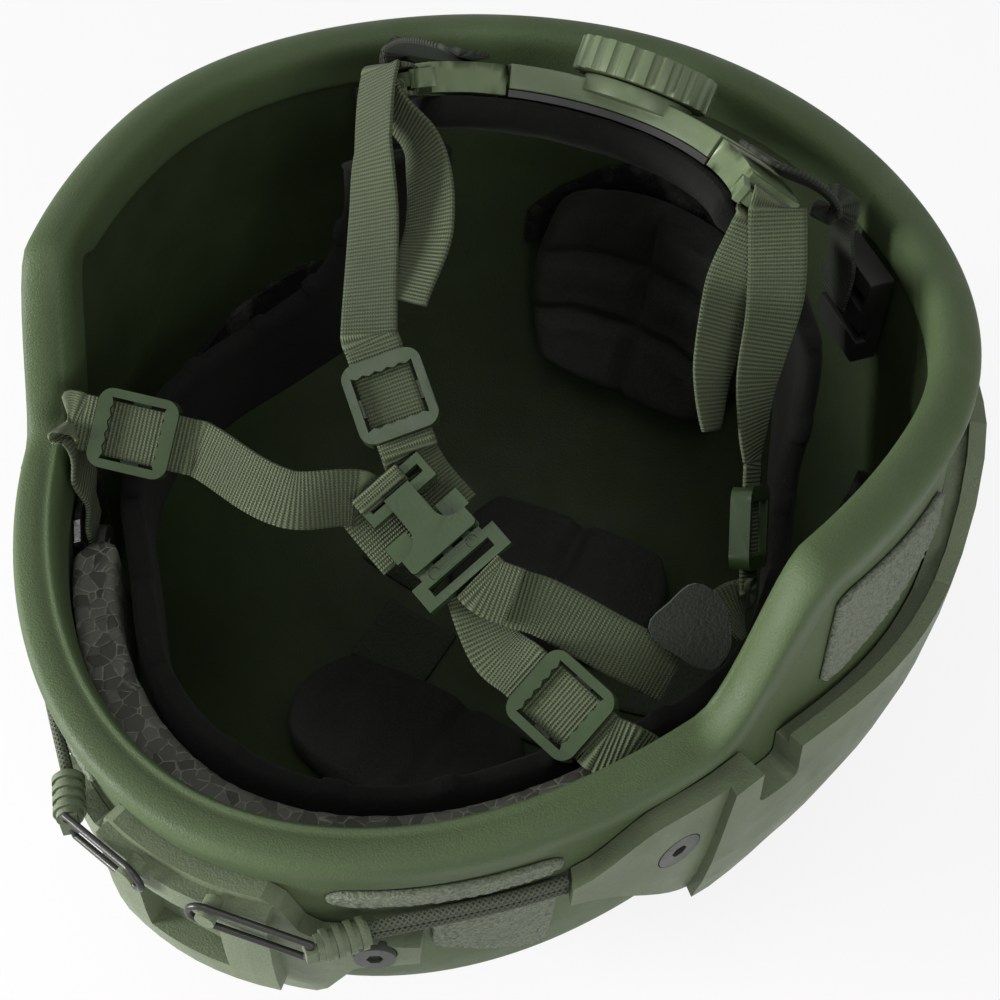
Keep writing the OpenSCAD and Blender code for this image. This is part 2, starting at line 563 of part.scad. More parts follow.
module cradle_housing() color(green) cradle_place() difference() {
    union() {
        arc_box(-house_a, house_a, 0, house_h, 0, house_v);
        at_dial() translate([0, 0, -4]) cylinder(r = boss_r, h = 4 + boss_h, $fn = 64);
    }
    arc_box(-house_a - 2, house_a + 2, dial_u - channel_half, dial_u + channel_half, 2.4, house_v + 1);
    at_dial() translate([0, 0, -12]) cylinder(r = shaft_r + shaft_gap, h = 20, $fn = 48);
}
module cradle_cover() color(dark) cradle_place() arc_box(-house_a, house_a, 0.6, house_h - 0.6, house_v + 0.3, house_t);

// Arms: a flat tongue in the channel, an end block and a slot for the strap
arm_end = 61.5;
slot_a = 64;
bar_a = 67;
arm_tip = 69.6;
frame_top = -1.5;
frame_bottom = house_h + 1.5;
frame_bar = 2;
module cradle_arm() color(green) cradle_place() {
    arc_box(12, 48, dial_u - channel_half + 0.6, dial_u + channel_half - 0.6, 2.9, 5.3);
    arc_box(house_a + 0.8, arm_end, 0.8, house_h - 0.8, 0.4, house_t - 0.4);
    arc_box(arm_end - 0.1, slot_a, frame_top, frame_bottom, 2, 7);
    arc_box(slot_a - 0.1, arm_tip, frame_top, frame_top + frame_bar, 2, 7);
    arc_box(slot_a - 0.1, arm_tip, frame_bottom - frame_bar, frame_bottom, 2, 7);
    arc_box(bar_a, arm_tip - 0.3, frame_top + 0.3, frame_bottom - 0.3, 2.6, 6.4);
}
module cradle_arm_right() cradle_arm();
module cradle_arm_left() translate([2 * cradle_x, 0, 0]) mirror([1, 0, 0]) cradle_arm();
lining_a = 62;
module cradle_pad() color(dark) cradle_place() rotate([0, 0, 90 - lining_a])
    rotate_extrude(angle = 2 * lining_a, $fn = 96) polygon([for (c = [[-0.5, 1], [1.5, 0], [16, 0], [18, 1], [18.6, 4],
        [17, 7], [13, 8.4], [4, 8.4], [0.5, 7], [-1.2, 4]]) sec(c[0], house_t + 0.5 + c[1])]);

// Dial
dial_low = 1.3;
module dial_knob() color(green) cradle_place() at_dial() {
    translate([0, 0, dial_low]) difference() {
        cylinder(r = dial_r, h = dial_t, $fn = 96);
        for (i = [0:dial_grips - 1])
            rotate([0, 0, i * 360 / dial_grips]) translate([dial_r + 0.5, 0, -1]) cylinder(r = 1.7, h = dial_t + 2, $fn = 16);
        translate([0, 0, dial_t - 1.6]) cylinder(r = dial_r - 5, h = 3, $fn = 64);
    }
    translate([0, 0, -6.4]) cylinder(r = shaft_r, h = 6.5 + dial_low, $fn = 48);
}
module dial_drive() color(steel) cradle_place() at_dial() translate([0, 0, -6.2]) difference() {
    cylinder(r = drive_r, h = 3.2, $fn = 48);
    translate([0, 0, -1]) cylinder(r = shaft_r + 0.03, h = 6, $fn = 48);
}

// Nape webs, from the arms back to the nape brackets
web_narrow = 14;
function web_edge(s) = unit(cradle_pt(s * 46, 7, 0) - cradle_pt(s * 46, 9, 0));
web_seat = bracket_off + 1.7;
function web_down(s, z, off) = on(s * bracket_at[0], z, -off);
module nape_web(s) color(dark) ribbon([cradle_pt(s * 43, house_h / 2, -1.7), cradle_pt(s * 50, house_h / 2, -2.6),
    web_down(s, 186, web_seat + 8.5), web_down(s, 172, web_seat + 3), web_down(s, 161, web_seat),
    web_down(s, 147, web_seat)], [web_edge(s), web_edge(s), [-0.2 * s, -0.6, 0.8], s * across(s * bracket_at[0], 172),
    s * across(s * bracket_at[0], 160), s * across(s * bracket_at[0], 150)], 4, web_narrow, 1.6);
module nape_web_right() nape_web(1);
module nape_web_left() nape_web(-1);

// Place of the buckle; its x runs from the socket to the plug
to_view = [0.31, -0.55, 0.775];
buckle_at = [14.5, -36.2, 149.4];
buckle_u = unit([0.907, -0.327, -0.267]);
function buckle_pt(x, y, h = 0) = let(z = unit(to_view - (to_view * buckle_u) * buckle_u),
    w = cross(z, buckle_u)) buckle_at + x * buckle_u + y * w + h * z;

// Sliders: place, webbing direction and face
slider_b_at = [-71.8, -45.4, 150];
slider_b_u = unit([0.95, 0.28, -0.1]);

slider_a_at = [-10.5, -13.9, 166];
slider_a_u = unit([19.7, -16.5, -12]);
slider_d_at = [80.9, 14.6, 136];
slider_d_u = unit([0.33, -0.67, -0.67]);
slider_c_at = buckle_pt(55, -3.6, 0.4);
slider_c_u = unit([0.955, -0.275, -0.11]);
slider_d_face = [0.99, 0.1, 0.12];
slider_round = 4;
slider_bar = 3.5;
slider_h = 5.4;
teeth = 5;
module rounded(x, y, r) {
    square([x - 2 * r, y], center = true);
    square([x, y - 2 * r], center = true);
    for (i = [-1, 1]) for (j = [-1, 1])
        translate([i * (x / 2 - r), j * (y / 2 - r)]) circle(r = r, $fn = 48);
}
module slider() color(green) {
    w = web_w / 2 + 0.8;
    x = slider_len / 2 - slider_bar;
    translate([0, 0, -2.8]) difference() {
        linear_extrude(slider_h) rounded(slider_len, 2 * (w + fit_wall), slider_round);
        translate([0, 0, -1]) linear_extrude(slider_h + 2) polygon([for (e = [-1, 1]) for (i = [0:2 * teeth])
            [e * (x - (i % 2) * 0.7), e * w * (i / teeth - 1)]]);
        translate([-slider_len, -w, -1]) cube([2 * slider_len, 2 * w, 4.8]);
    }
    translate([-2.5, -w - 1, -2.8]) cube([5, 2 * w + 2, 1.8]);
}
module slider_a() pose(slider_a_at, slider_a_u, to_view) slider();
module slider_b() pose(slider_b_at, slider_b_u, to_view) slider();
module slider_c() pose(slider_c_at, slider_c_u, to_view) slider();
module slider_d() pose(slider_d_at, slider_d_u, slider_d_face) slider();

// Buckle
module buckle_place() pose(buckle_at, buckle_u, to_view) children();
cover_front = 6;
cover_back = -14;
tongue_half = 4;
bar_back = -19;
cover_round = 1.2;
notch_r = 5;
// Outline of a cover: wide at the mouth, with a narrow tongue towards the strap bar
module cover_form() difference() {
    union() {
        translate([cover_back, -tongue_half]) square([cover_front - cover_back - 2, 2 * tongue_half]);
        translate([1, 0]) rounded(10, cover_w, cover_round);
    }
    for (q = [-1, 1])
        translate([-4, q * (tongue_half + notch_r)]) circle(r = notch_r, $fn = 48);
}
module buckle_socket() color(green) buckle_place() {
    h = cover_w / 2;
    for (s = [0, 1])
        mirror([0, 0, s]) translate([0, 0, buckle_gap]) linear_extrude(buckle_wall) cover_form();
    translate([cover_back + 0.6, 0.8 - tongue_half, -buckle_gap - 0.1])
        cube([2.6, 2 * tongue_half - 1.6, 2 * buckle_gap + 0.2]);
    translate([cover_back, -h, -1.5]) cube([3, cover_w, 3]);
    for (q = [-1, 1])
        translate([bar_back, q > 0 ? h - 2 : -h, -1.5]) cube([6, 2, 3]);
    translate([bar_back, -h, -1.5]) cube([2.4, cover_w, 3]);
}
prong_x = 8.5;
prong_y = 6.2;
module buckle_plug() color(green) buckle_place() difference() {
    union() {
        translate([6.6, -10, -1.9]) cube([3.8, 20, 3.8]);
        translate([0, -1.5, -1.4]) cube([7, 3, 2.8]);
        for (q = [-1, 1])
            translate([8, q > 0 ? 10 - 0.1 : -13.5, -1.9]) cube([7.5, 3.6, 3.8]);
        translate([13.2, -13.5, -1.9]) cube([2.3, 27, 3.8]);
    }
    for (q = [-1, 1]) {
        translate([prong_x, q * prong_y, -4]) cylinder(r = 1.5 + pin_gap, h = 8, $fn = 32);
        translate([5, q * prong_y - 2.4, -1.8]) cube([3.5, 4.8, 3.6]);
    }
}
module prong() color(green) {
    translate([prong_x, prong_y, -1.7]) cylinder(r = 1.5, h = 3.4, $fn = 32);
    translate([-5, prong_y - 1.2, -1.4]) cube([13, 2.4, 2.8]);
    translate([-5, prong_y, -1.4]) cube([5.4, 5.8, 2.8]);
}
module prong_right() buckle_place() prong();
module prong_left() buckle_place() mirror([0, 1, 0]) prong();

// Chin tab
tab_at = [82.8, -23.02, 138.03];
tab_u = [-0.87, -0.49, 0];
tab_long = 21;
tab_wide = 22;
tab_edge = [[0.57, 0], [0.26, 0.3], [-0.16, 0.48], [-0.38, 0.28], [-0.41, 0.02], [-0.31, -0.32], [0, -0.51],
    [0.31, -0.3]];
module chin_tab() color(dark) pose(tab_at, tab_u, to_view) translate([0, 0, -1.5]) linear_extrude(3)
    polygon([for (i = [0:7]) for (j = [0:3]) let(p = cubic(tab_edge[(i + 7) % 8], tab_edge[i],
        tab_edge[(i + 1) % 8], tab_edge[(i + 2) % 8], j / 4)) [tab_long * p[0], tab_wide * p[1]]]);

// Straps
function width_of(u, face) = unit(cross(face - (face * u) * u, u));
wide_a = width_of(slider_a_u, to_view);
wide_b = width_of(slider_b_u, to_view);
wide_c = width_of(slider_c_u, to_view);
wide_d = width_of(slider_d_u, slider_d_face);
wide_bar = width_of(buckle_u, to_view);
wide_chin = width_of([0.93, 0.12, -0.36], to_view);
function ring_width(s) = unit(cradle_pt(s * 68, 7, 4.5) - cradle_pt(s * 68, 9, 4.5));
function ring_loop(s) = let(f = s > 0 ? 1 : -1) [cradle_side(f, 72.5, 0.9), cradle_side(f, 68.3, 0.8),
    cradle_side(f, 66.1, 2.1), cradle_side(f, 65.5, 4.5), cradle_side(f, 66.1, 6.9), cradle_side(f, 68.3, 8.2),
    cradle_side(f, 72.5, 8.1)];
function cradle_side(s, f, v) = cradle_pt(s * f, house_h / 2, v);
function through(at, u, d0 = 18) = [for (d = [d0, d0 - 3, -15, -18]) at + d * u];
// Webbing end that lies under the buckle: it dips behind the strap bar.
function under(y, q) = [buckle_pt(-2, y, -5.6), buckle_pt(-13, y, -5.4), buckle_pt(-18.6, y + q, -3.7),
    buckle_pt(-20.9, y + 2 * q, -1.2)];
module strap_rear_left() color(green) ribbon(concat(under(7.2, 0.8),
    through(slider_a_at, slider_a_u, 14.2), [[-38, 24.9, 186], [-46, 38.9, 196]], ring_loop(-1),
    [[-37, 48.9, 192], [-23.5, 28.9, 184], [-20, 7.9, 178]]),
    concat([for (i = [0:3]) wide_bar], [for (i = [0:3]) wide_a], [ring_width(-1) + wide_a, ring_width(-1)],
    [for (i = [0:6]) ring_width(-1)], [ring_width(-1), ring_width(-1) + wide_a, wide_a]), 3);
module strap_rear_right() color(green) ribbon(concat([[85, -10, 126.5]], through(slider_d_at, slider_d_u),
    [[70, 36.9, 165], [67, 50.9, 183]], ring_loop(1), [[56, 48.9, 183], [59, 32.9, 168], [64, 22.9, 157]]),
    concat([wide_d + 1.2 * width_of(slider_d_u, to_view)], [for (i = [0:3]) wide_d],
    [wide_d - ring_width(1), -ring_width(1)],
    [for (i = [0:6]) -ring_width(1)], [-ring_width(1), wide_d - ring_width(1), wide_d]), 3);
anchor_strap = [for (p = [[113.5, 1.7], [117, 1.7], [121, 1.9], [128, 4]])
    on(44.5, p[0], -wall_off - anchor_t - p[1])];
anchor_side = across(44.5, 118);
function flipped(p) = [-p[0], p[1], p[2]];
module strap_front_left() color(green) ribbon(concat([for (p = anchor_strap) flipped(p)],
    [[-86.5, -54.6, 139], [-87, -51.1, 148.5]], through(slider_b_at, -slider_b_u),
    [[-23.5, -46.5, 152.5]], [for (i = [3:-1:0]) under(-9.3, 0.2)[i]]),
    concat([for (i = [0:3]) flipped(anchor_side)], [[-0.5, 0.75, 0.2], [-0.2, 0.8, 0.4]],
    [for (i = [0:4]) wide_b], [for (i = [0:3]) wide_bar]), 3);
module strap_front_right() color(green) ribbon(concat([for (i = [0:2]) anchor_strap[i]],
    [buckle_pt(74.5, 1, 0.2)], [for (d = [14, 12, -12, -14]) slider_c_at + d * slider_c_u],
    [buckle_pt(33, -7, -5.4), buckle_pt(25, -5, -5.8), buckle_pt(17, -1.5, -3.8)]),
    concat([for (i = [0:2]) anchor_side], [for (i = [0:4]) wide_c], [for (i = [0:2]) wide_bar]), 3);
module strap_chin() color(green) ribbon([buckle_pt(16.2, 1.5), buckle_pt(20, 1.8, -0.3),
    buckle_pt(25, 4.2, -0.9), buckle_pt(33, 9.1, -3), buckle_pt(51.4, 16.3, -9.8), [77.7, -31.9, 128],
    [81, -31.2, 126.4]],
    [wide_bar, wide_bar, for (i = [0:4]) wide_chin], 4);

shell();
edge_trim();
nvg_shroud();
shroud_screws();
rail_right();
rail_left();
rail_screws();
rail_nuts();
bungee_right();
bungee_left();
ferrule_right();
ferrule_left();
hook_right();
hook_left();
loop_strip_right();
loop_strip_left();
loop_front_right();
loop_front_left();
loop_side_right();
loop_side_left();
bead_foam();
headband();
pad_rear();
pad_crown();
pad_front();
pad_loops();
frame_strip_right();
frame_strip_left();
frame_arch();
nape_bracket_right();
nape_bracket_left();
nape_web_right();
nape_web_left();
anchor_right();
anchor_left();
cradle_housing();
cradle_cover();
cradle_arm_right();
cradle_arm_left();
cradle_pad();
dial_knob();
dial_drive();
strap_rear_left();
strap_rear_right();
strap_front_left();
strap_front_right();
strap_chin();
chin_tab();
slider_a();
slider_b();
slider_c();
slider_d();
buckle_socket();
buckle_plug();
prong_right();
prong_left();
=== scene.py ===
"""Combat helmet lying on its crown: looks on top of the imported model."""
import json
import math

import bmesh
import bpy
import numpy as np
from mathutils import Matrix, Vector, noise


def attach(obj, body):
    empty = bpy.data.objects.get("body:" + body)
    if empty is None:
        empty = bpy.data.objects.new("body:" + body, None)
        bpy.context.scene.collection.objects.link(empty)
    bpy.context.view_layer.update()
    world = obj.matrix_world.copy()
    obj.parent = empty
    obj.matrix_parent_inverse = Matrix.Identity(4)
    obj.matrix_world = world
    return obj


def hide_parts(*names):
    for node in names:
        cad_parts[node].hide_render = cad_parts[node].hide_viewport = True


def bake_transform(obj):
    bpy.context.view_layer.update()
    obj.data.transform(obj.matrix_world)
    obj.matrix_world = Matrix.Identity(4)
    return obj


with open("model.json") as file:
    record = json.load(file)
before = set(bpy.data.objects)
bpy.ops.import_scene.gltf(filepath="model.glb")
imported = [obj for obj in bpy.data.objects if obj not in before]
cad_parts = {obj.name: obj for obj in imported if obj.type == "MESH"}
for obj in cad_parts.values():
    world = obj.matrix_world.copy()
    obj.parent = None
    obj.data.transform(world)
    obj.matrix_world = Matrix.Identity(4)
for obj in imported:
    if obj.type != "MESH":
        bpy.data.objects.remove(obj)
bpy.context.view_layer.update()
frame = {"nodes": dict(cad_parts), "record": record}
nodes = frame["nodes"]
bodies = frame["record"]["behaviour"]["bodies"]

# Shell surface, in millimetres, as in the part's source
HALF_W, FRONT_LEN, REAR_LEN, MID_Y, CROWN_Y = 117.6, 159.0, 104.3, 31.7, 12.4
PLAN_N, DOME_M, WALL_Z, SHELL_T = 1.93, 2.45, 126.0, 8.0
RIM_FLARE, FLARE_Z, EAR_BULGE = 4.0, 96.0, 5.0
BROW_Z, TEMPLE_Z, EAR_Z, NAPE_Z, RISE_0, RISE_1 = 134.4, 138.0, 182.3, 175.5, -52.2, -22.6


def vec(*v):
    return np.array(v, dtype=float)


def unit(v):
    return v / np.linalg.norm(v)


def ease(t):
    u = min(max(t, 0.0), 1.0)
    return u * u * (3 - 2 * u)


def sind(a):
    return math.sin(math.radians(a))


def cosd(a):
    return math.cos(math.radians(a))


def plan_r(a):
    b = FRONT_LEN if cosd(a) > 0 else REAR_LEN
    return 1 / ((abs(sind(a)) / HALF_W) ** PLAN_N + (abs(cosd(a)) / b) ** PLAN_N) ** (1 / PLAN_N)


def rim_z(a):
    y = MID_Y - plan_r(a) * cosd(a)
    return (TEMPLE_Z + (BROW_Z - TEMPLE_Z) * ease((RISE_0 - y) / (RISE_0 - MID_Y + FRONT_LEN))
            + (EAR_Z - TEMPLE_Z) * ease((y - RISE_0) / (RISE_1 - RISE_0))
            + (NAPE_Z - EAR_Z) * ease((y - RISE_1) / (MID_Y + REAR_LEN - RISE_1)))


def base(a, z):
    k = (1 - ((WALL_Z - max(z, 0)) / WALL_Z) ** DOME_M) ** (1 / DOME_M) if z < WALL_Z else 1.0
    w = abs(a - 360 if a > 180 else a)
    bulge = EAR_BULGE * ease((45 - abs(w - 92)) / 40) * ease((z - 45) / 60) * (1 - 0.75 * ease((z - 125) / 55))
    flare = RIM_FLARE * min(max((z - FLARE_Z) / (rim_z(a) - FLARE_Z), 0), 1.05) ** 2
    r = plan_r(a) * k + flare + bulge
    cy = CROWN_Y + (MID_Y - CROWN_Y) * min(max(z / WALL_Z, 0), 1)
    return vec(r * sind(a), cy - r * cosd(a), z)


def normal(a, z):
    t = base(a, z + 0.5) - base(a, z - 0.5)
    h = vec(sind(a), -cosd(a), 0)
    return unit(h * t[2] - vec(0, 0, t @ h))


def on(a, z, off):
    return base(a, z) + off * normal(a, z)


def across(a, z):
    return unit(base(a + 0.5, z) - base(a - 0.5, z))


def dome_z(q):
    return WALL_Z * (1 - (1 - min(q, 0.98) ** DOME_M) ** (1 / DOME_M))


def shell_floor(x, y):
    z = s = 0.0
    for _ in range(7):
        c = CROWN_Y + (MID_Y - CROWN_Y) * min(max(z / WALL_Z, 0), 1)
        r = plan_r(math.degrees(math.atan2(x, c - y)))
        e = math.hypot(x, y - c) + SHELL_T * s / math.sqrt(1 + s * s)
        z = dome_z(e / r)
        s = (dome_z(e / r + 0.01) - z) / (0.01 * r)
    return z + SHELL_T / math.sqrt(1 + s * s)


def toward(v):
    return v / max(np.linalg.norm(v), 1e-9)


def spline(points, n):
    p = [np.asarray(q, dtype=float) for q in points]
    out = []
    for i in range(len(p) - 1):
        a, b, c, d = p[max(i - 1, 0)], p[i], p[i + 1], p[min(i + 2, len(p) - 1)]
        size = np.linalg.norm(c - b)
        m0, m1 = size * toward(c - a), size * toward(d - b)
        for j in range(n):
            t = j / n
            out.append((2 * t ** 3 - 3 * t * t + 1) * b + (t ** 3 - 2 * t * t + t) * m0
                       + (3 * t * t - 2 * t ** 3) * c + (t ** 3 - t * t) * m1)
    return out + [p[-1]]


def tangents(s):
    return [unit(s[min(i + 1, len(s) - 1)] - s[max(i - 1, 0)]) for i in range(len(s))]


# Node materials
def material(name, rough=0.6, color=(0.5, 0.5, 0.5), **inputs):
    m = bpy.data.materials.new(name)
    m.use_nodes = True
    m.diffuse_color = (*color, 1)
    b = m.node_tree.nodes["Principled BSDF"]
    b.inputs["Base Color"].default_value = (*color, 1)
    b.inputs["Roughness"].default_value = rough
    for k, v in inputs.items():
        b.inputs[k.replace("_", " ")].default_value = v
    return m, m.node_tree, b


def shade_of(color, k):
    return tuple(min(c * k, 1) for c in color)


def put(nt, socket, value):
    if isinstance(value, bpy.types.NodeSocket):
        nt.links.new(value, socket)
    else:
        socket.default_value = value


def math_node(nt, op, a, b=0.0, c=None):
    n = nt.nodes.new("ShaderNodeMath")
    n.operation = op
    put(nt, n.inputs[0], a)
    put(nt, n.inputs[1], b)
    if c is not None:
        put(nt, n.inputs[2], c)
    return n.outputs[0]


def coords(nt, kind="Object"):
    return nt.nodes.new("ShaderNodeTexCoord").outputs[kind]


def noise_tex(nt, scale, detail=2.0, vector=None, rough=0.5):
    n = nt.nodes.new("ShaderNodeTexNoise")
    n.inputs["Scale"].default_value = scale
    n.inputs["Detail"].default_value = detail
    n.inputs["Roughness"].default_value = rough
    nt.links.new(vector if vector is not None else coords(nt), n.inputs["Vector"])
    return n.outputs["Fac"]


def cells(nt, scale, feature="F1", vector=None, output="Distance", jitter=1.0):
    n = nt.nodes.new("ShaderNodeTexVoronoi")
    n.feature = feature
    n.inputs["Scale"].default_value = scale
    n.inputs["Randomness"].default_value = jitter
    nt.links.new(vector if vector is not None else coords(nt), n.inputs["Vector"])
    return n.outputs[output]


def span(nt, value, lo, hi, out_lo=0.0, out_hi=1.0):
    n = nt.nodes.new("ShaderNodeMapRange")
    put(nt, n.inputs["Value"], value)
    for k, v in (("From Min", lo), ("From Max", hi), ("To Min", out_lo), ("To Max", out_hi)):
        n.inputs[k].default_value = v
    return n.outputs[0]


def mix(nt, fac, a, b):
    n = nt.nodes.new("ShaderNodeMix")
    n.data_type = "RGBA"
    put(nt, n.inputs[0], fac)
    put(nt, n.inputs[6], (*a, 1) if isinstance(a, tuple) else a)
    put(nt, n.inputs[7], (*b, 1) if isinstance(b, tuple) else b)
    return n.outputs[2]


def bump(nt, bsdf, layers):
    last = None
    for height, strength, distance in layers:
        n = nt.nodes.new("ShaderNodeBump")
        n.inputs["Strength"].default_value = strength
        n.inputs["Distance"].default_value = distance
        nt.links.new(height, n.inputs["Height"])
        if last is not None:
            nt.links.new(last, n.inputs["Normal"])
        last = n.outputs[0]
    nt.links.new(last, bsdf.inputs["Normal"])


def edge_wear(nt, color, light, amount=0.5):
    g = nt.nodes.new("ShaderNodeNewGeometry")
    wear = span(nt, g.outputs["Pointiness"], 0.53, 0.6, 0.0, amount)
    return mix(nt, math_node(nt, "MULTIPLY", wear, noise_tex(nt, 160, 3)), color, light)


GREEN = (0.074, 0.102, 0.048)
# Darker green for the shell's inside: painted shade of the bowl, the same paint as outside
GREEN_PAINTED_SHADE_INSIDE = (0.021, 0.032, 0.011)


def coat(name, color, grain=1500, grain_strength=0.6, rough=0.62, inner=None):
    m, nt, b = material(name, rough, color, Specular_IOR_Level=0.22)
    tone = span(nt, noise_tex(nt, 22, 4), 0.3, 0.7)
    speck = span(nt, noise_tex(nt, grain, 2), 0.35, 0.7)
    col = mix(nt, tone, shade_of(color, 0.8), color)
    col = mix(nt, math_node(nt, "MULTIPLY", speck, 0.6), col, shade_of(color, 1.16))
    # The inside of the bowl gets the darker colour as painted shade, with brush strokes and real dust specks on
    # it
    if inner:
        to_axis = nt.nodes.new("ShaderNodeVectorMath")
        to_axis.operation = "SUBTRACT"
        nt.links.new(coords(nt), to_axis.inputs[0])
        to_axis.inputs[1].default_value = (0, 0.03, 0.16)
        dot = nt.nodes.new("ShaderNodeVectorMath")
        dot.operation = "DOT_PRODUCT"
        nt.links.new(to_axis.outputs[0], dot.inputs[0])
        nt.links.new(coords(nt, "Normal"), dot.inputs[1])
        outside = span(nt, dot.outputs["Value"], -0.004, 0.004)
        dust = span(nt, cells(nt, 210), 0.0, 0.13, 1.0, 0.0)
        dust = math_node(nt, "MULTIPLY", dust, span(nt, noise_tex(nt, 30, 2), 0.5, 0.7))
        strokes = span(nt, noise_tex(nt, 60, 5, rough=0.7), 0.35, 0.65)
        inside_painted_shade_and_dust = mix(nt, strokes, inner, shade_of(inner, 0.8))
        inside_painted_shade_and_dust = mix(nt, math_node(nt, "MULTIPLY", dust, 0.25), inside_painted_shade_and_dust, (0.16, 0.17, 0.12))
        col = mix(nt, outside, inside_painted_shade_and_dust, col)
    col = edge_wear(nt, col, shade_of(color, 1.5), amount=0.35)
    nt.links.new(col, b.inputs["Base Color"])
    nt.links.new(span(nt, noise_tex(nt, 70, 3), 0.3, 0.7, rough - 0.07, rough + 0.08), b.inputs["Roughness"])
    bump(nt, b, [(noise_tex(nt, grain, 3), grain_strength, 0.0004), (noise_tex(nt, 260, 2), 0.12, 0.0006)])
    return m


def plastic(name, color, rough=0.5, grain=900, strength=0.16, wear=1.5):
    m, nt, b = material(name, rough, color, Specular_IOR_Level=0.32)
    col = mix(nt, span(nt, noise_tex(nt, 45, 4), 0.35, 0.65), shade_of(color, 0.88), color)
    col = edge_wear(nt, col, shade_of(color, wear))
    nt.links.new(col, b.inputs["Base Color"])
    nt.links.new(span(nt, noise_tex(nt, 120, 4), 0.3, 0.7, rough - 0.08, rough + 0.1), b.inputs["Roughness"])
    scratch = nt.nodes.new("ShaderNodeMapping")
    scratch.inputs["Scale"].default_value = (1, 6, 1)
    nt.links.new(coords(nt), scratch.inputs["Vector"])
    bump(nt, b, [(noise_tex(nt, grain, 2), strength, 0.0003),
                 (noise_tex(nt, 240, 3, scratch.outputs[0]), 0.05, 0.0004)])
    return m


def gloss_black(name):
    m, nt, b = material(name, 0.2, (0.012, 0.012, 0.012))
    crease = noise_tex(nt, 55, 4, rough=0.6)
    col = mix(nt, span(nt, crease, 0.55, 0.7), (0.01, 0.01, 0.01), (0.05, 0.05, 0.045))
    nt.links.new(col, b.inputs["Base Color"])
    nt.links.new(span(nt, noise_tex(nt, 400, 4), 0.3, 0.7, 0.12, 0.34), b.inputs["Roughness"])
    bump(nt, b, [(crease, 0.5, 0.0016), (noise_tex(nt, 700, 2), 0.25, 0.0004)])
    return m


def soft_black(name, color=(0.0270, 0.0272, 0.0242), nap=2200, lint=0.3):
    m, nt, b = material(name, 0.95, color, Sheen_Weight=0.02, Sheen_Roughness=0.45, Specular_IOR_Level=0.15)
    b.inputs["Sheen Tint"].default_value = (0.6, 0.6, 0.56, 1)
    fine = noise_tex(nt, nap, 2)
    col = mix(nt, span(nt, fine, 0.3, 0.75), shade_of(color, 0.55), shade_of(color, 1.5))
    col = mix(nt, span(nt, noise_tex(nt, 35, 4), 0.4, 0.7, 0.0, 0.5), col, shade_of(color, 1.7))
    specks = span(nt, cells(nt, 420), 0.0, 0.16, 1.0, 0.0)
    specks = math_node(nt, "MULTIPLY", specks, span(nt, noise_tex(nt, 90, 2), 0.56, 0.7))
    col = mix(nt, math_node(nt, "MULTIPLY", specks, lint), col, (0.2, 0.2, 0.18))
    nt.links.new(col, b.inputs["Base Color"])
    bump(nt, b, [(fine, 0.5, 0.0005), (noise_tex(nt, 140, 4), 0.3, 0.0012)])
    return m


def webbing(name, color, rib=1.08, yarn=0.7, gap=0.1, width=15.0):
    """Ribs run across the band. UV is in millimetres: x across from the middle, y along."""
    m, nt, b = material(name, 0.82, color, Sheen_Weight=0.03, Sheen_Roughness=0.4, Specular_IOR_Level=0.3)
    sep = nt.nodes.new("ShaderNodeSeparateXYZ")
    nt.links.new(coords(nt, "UV"), sep.inputs[0])
    x, y = sep.outputs[0], sep.outputs[1]
    col_wave = math_node(nt, "SINE", math_node(nt, "MULTIPLY", x, 2 * math.pi / yarn))
    wob = noise_tex(nt, 0.5, 2, coords(nt, "UV"))
    phase = math_node(nt, "MULTIPLY", y, 2 * math.pi / rib)
    phase = math_node(nt, "ADD", phase, math_node(nt, "MULTIPLY", col_wave, 0.4))
    phase = math_node(nt, "ADD", phase, math_node(nt, "MULTIPLY", wob, 0.9))
    ribs = math_node(nt, "SINE", phase)
    height = math_node(nt, "ADD", math_node(nt, "MULTIPLY", ribs, 0.5), 0.5)
    strand = math_node(nt, "MULTIPLY", math_node(nt, "ADD", col_wave, 1.0), 0.16)
    height = math_node(nt, "ADD", height, strand)
    fuzz = noise_tex(nt, 5.5, 3, coords(nt, "UV"))
    shade = math_node(nt, "ADD", math_node(nt, "MULTIPLY", span(nt, height, 0.05, 0.8), 0.8),
                      math_node(nt, "MULTIPLY", fuzz, 0.3))
    # Rib height sets the colour: painted shade in the gaps between ribs, painted light on the rib crests
    col = mix(nt, shade, shade_of(color, gap), shade_of(color, 1.5))
    edge = math_node(nt, "ABSOLUTE", x)
    selvage = span(nt, edge, width / 2 - 1.3, width / 2 - 1.0)
    col = mix(nt, math_node(nt, "MULTIPLY", selvage, 0.25), col, color)
    worn = span(nt, noise_tex(nt, 40, 4), 0.45, 0.75, 0.0, 0.35)
    col = mix(nt, worn, col, shade_of(color, 0.62))
    nt.links.new(col, b.inputs["Base Color"])
    bump(nt, b, [(height, 1.0, 0.0006), (fuzz, 0.35, 0.0002)])
    return m


def fuzzy(name, color, rough=0.95, dark=0.35, strength=1.0, sheen=0.2):
    m, nt, b = material(name, rough, color, Sheen_Weight=sheen, Sheen_Roughness=0.5)
    curls = noise_tex(nt, 850, 4, rough=0.75)
    loops = cells(nt, 1300, "SMOOTH_F1")
    h = math_node(nt, "SUBTRACT", math_node(nt, "MULTIPLY", curls, 1.3), math_node(nt, "MULTIPLY", loops, 0.6))
    col = mix(nt, span(nt, h, 0.05, 0.75), shade_of(color, dark), shade_of(color, 1.35))
    col = mix(nt, span(nt, noise_tex(nt, 60, 3), 0.4, 0.7, 0, 0.4), col, shade_of(color, 0.75))
    nt.links.new(col, b.inputs["Base Color"])
    bump(nt, b, [(h, strength, 0.0012)])
    return m


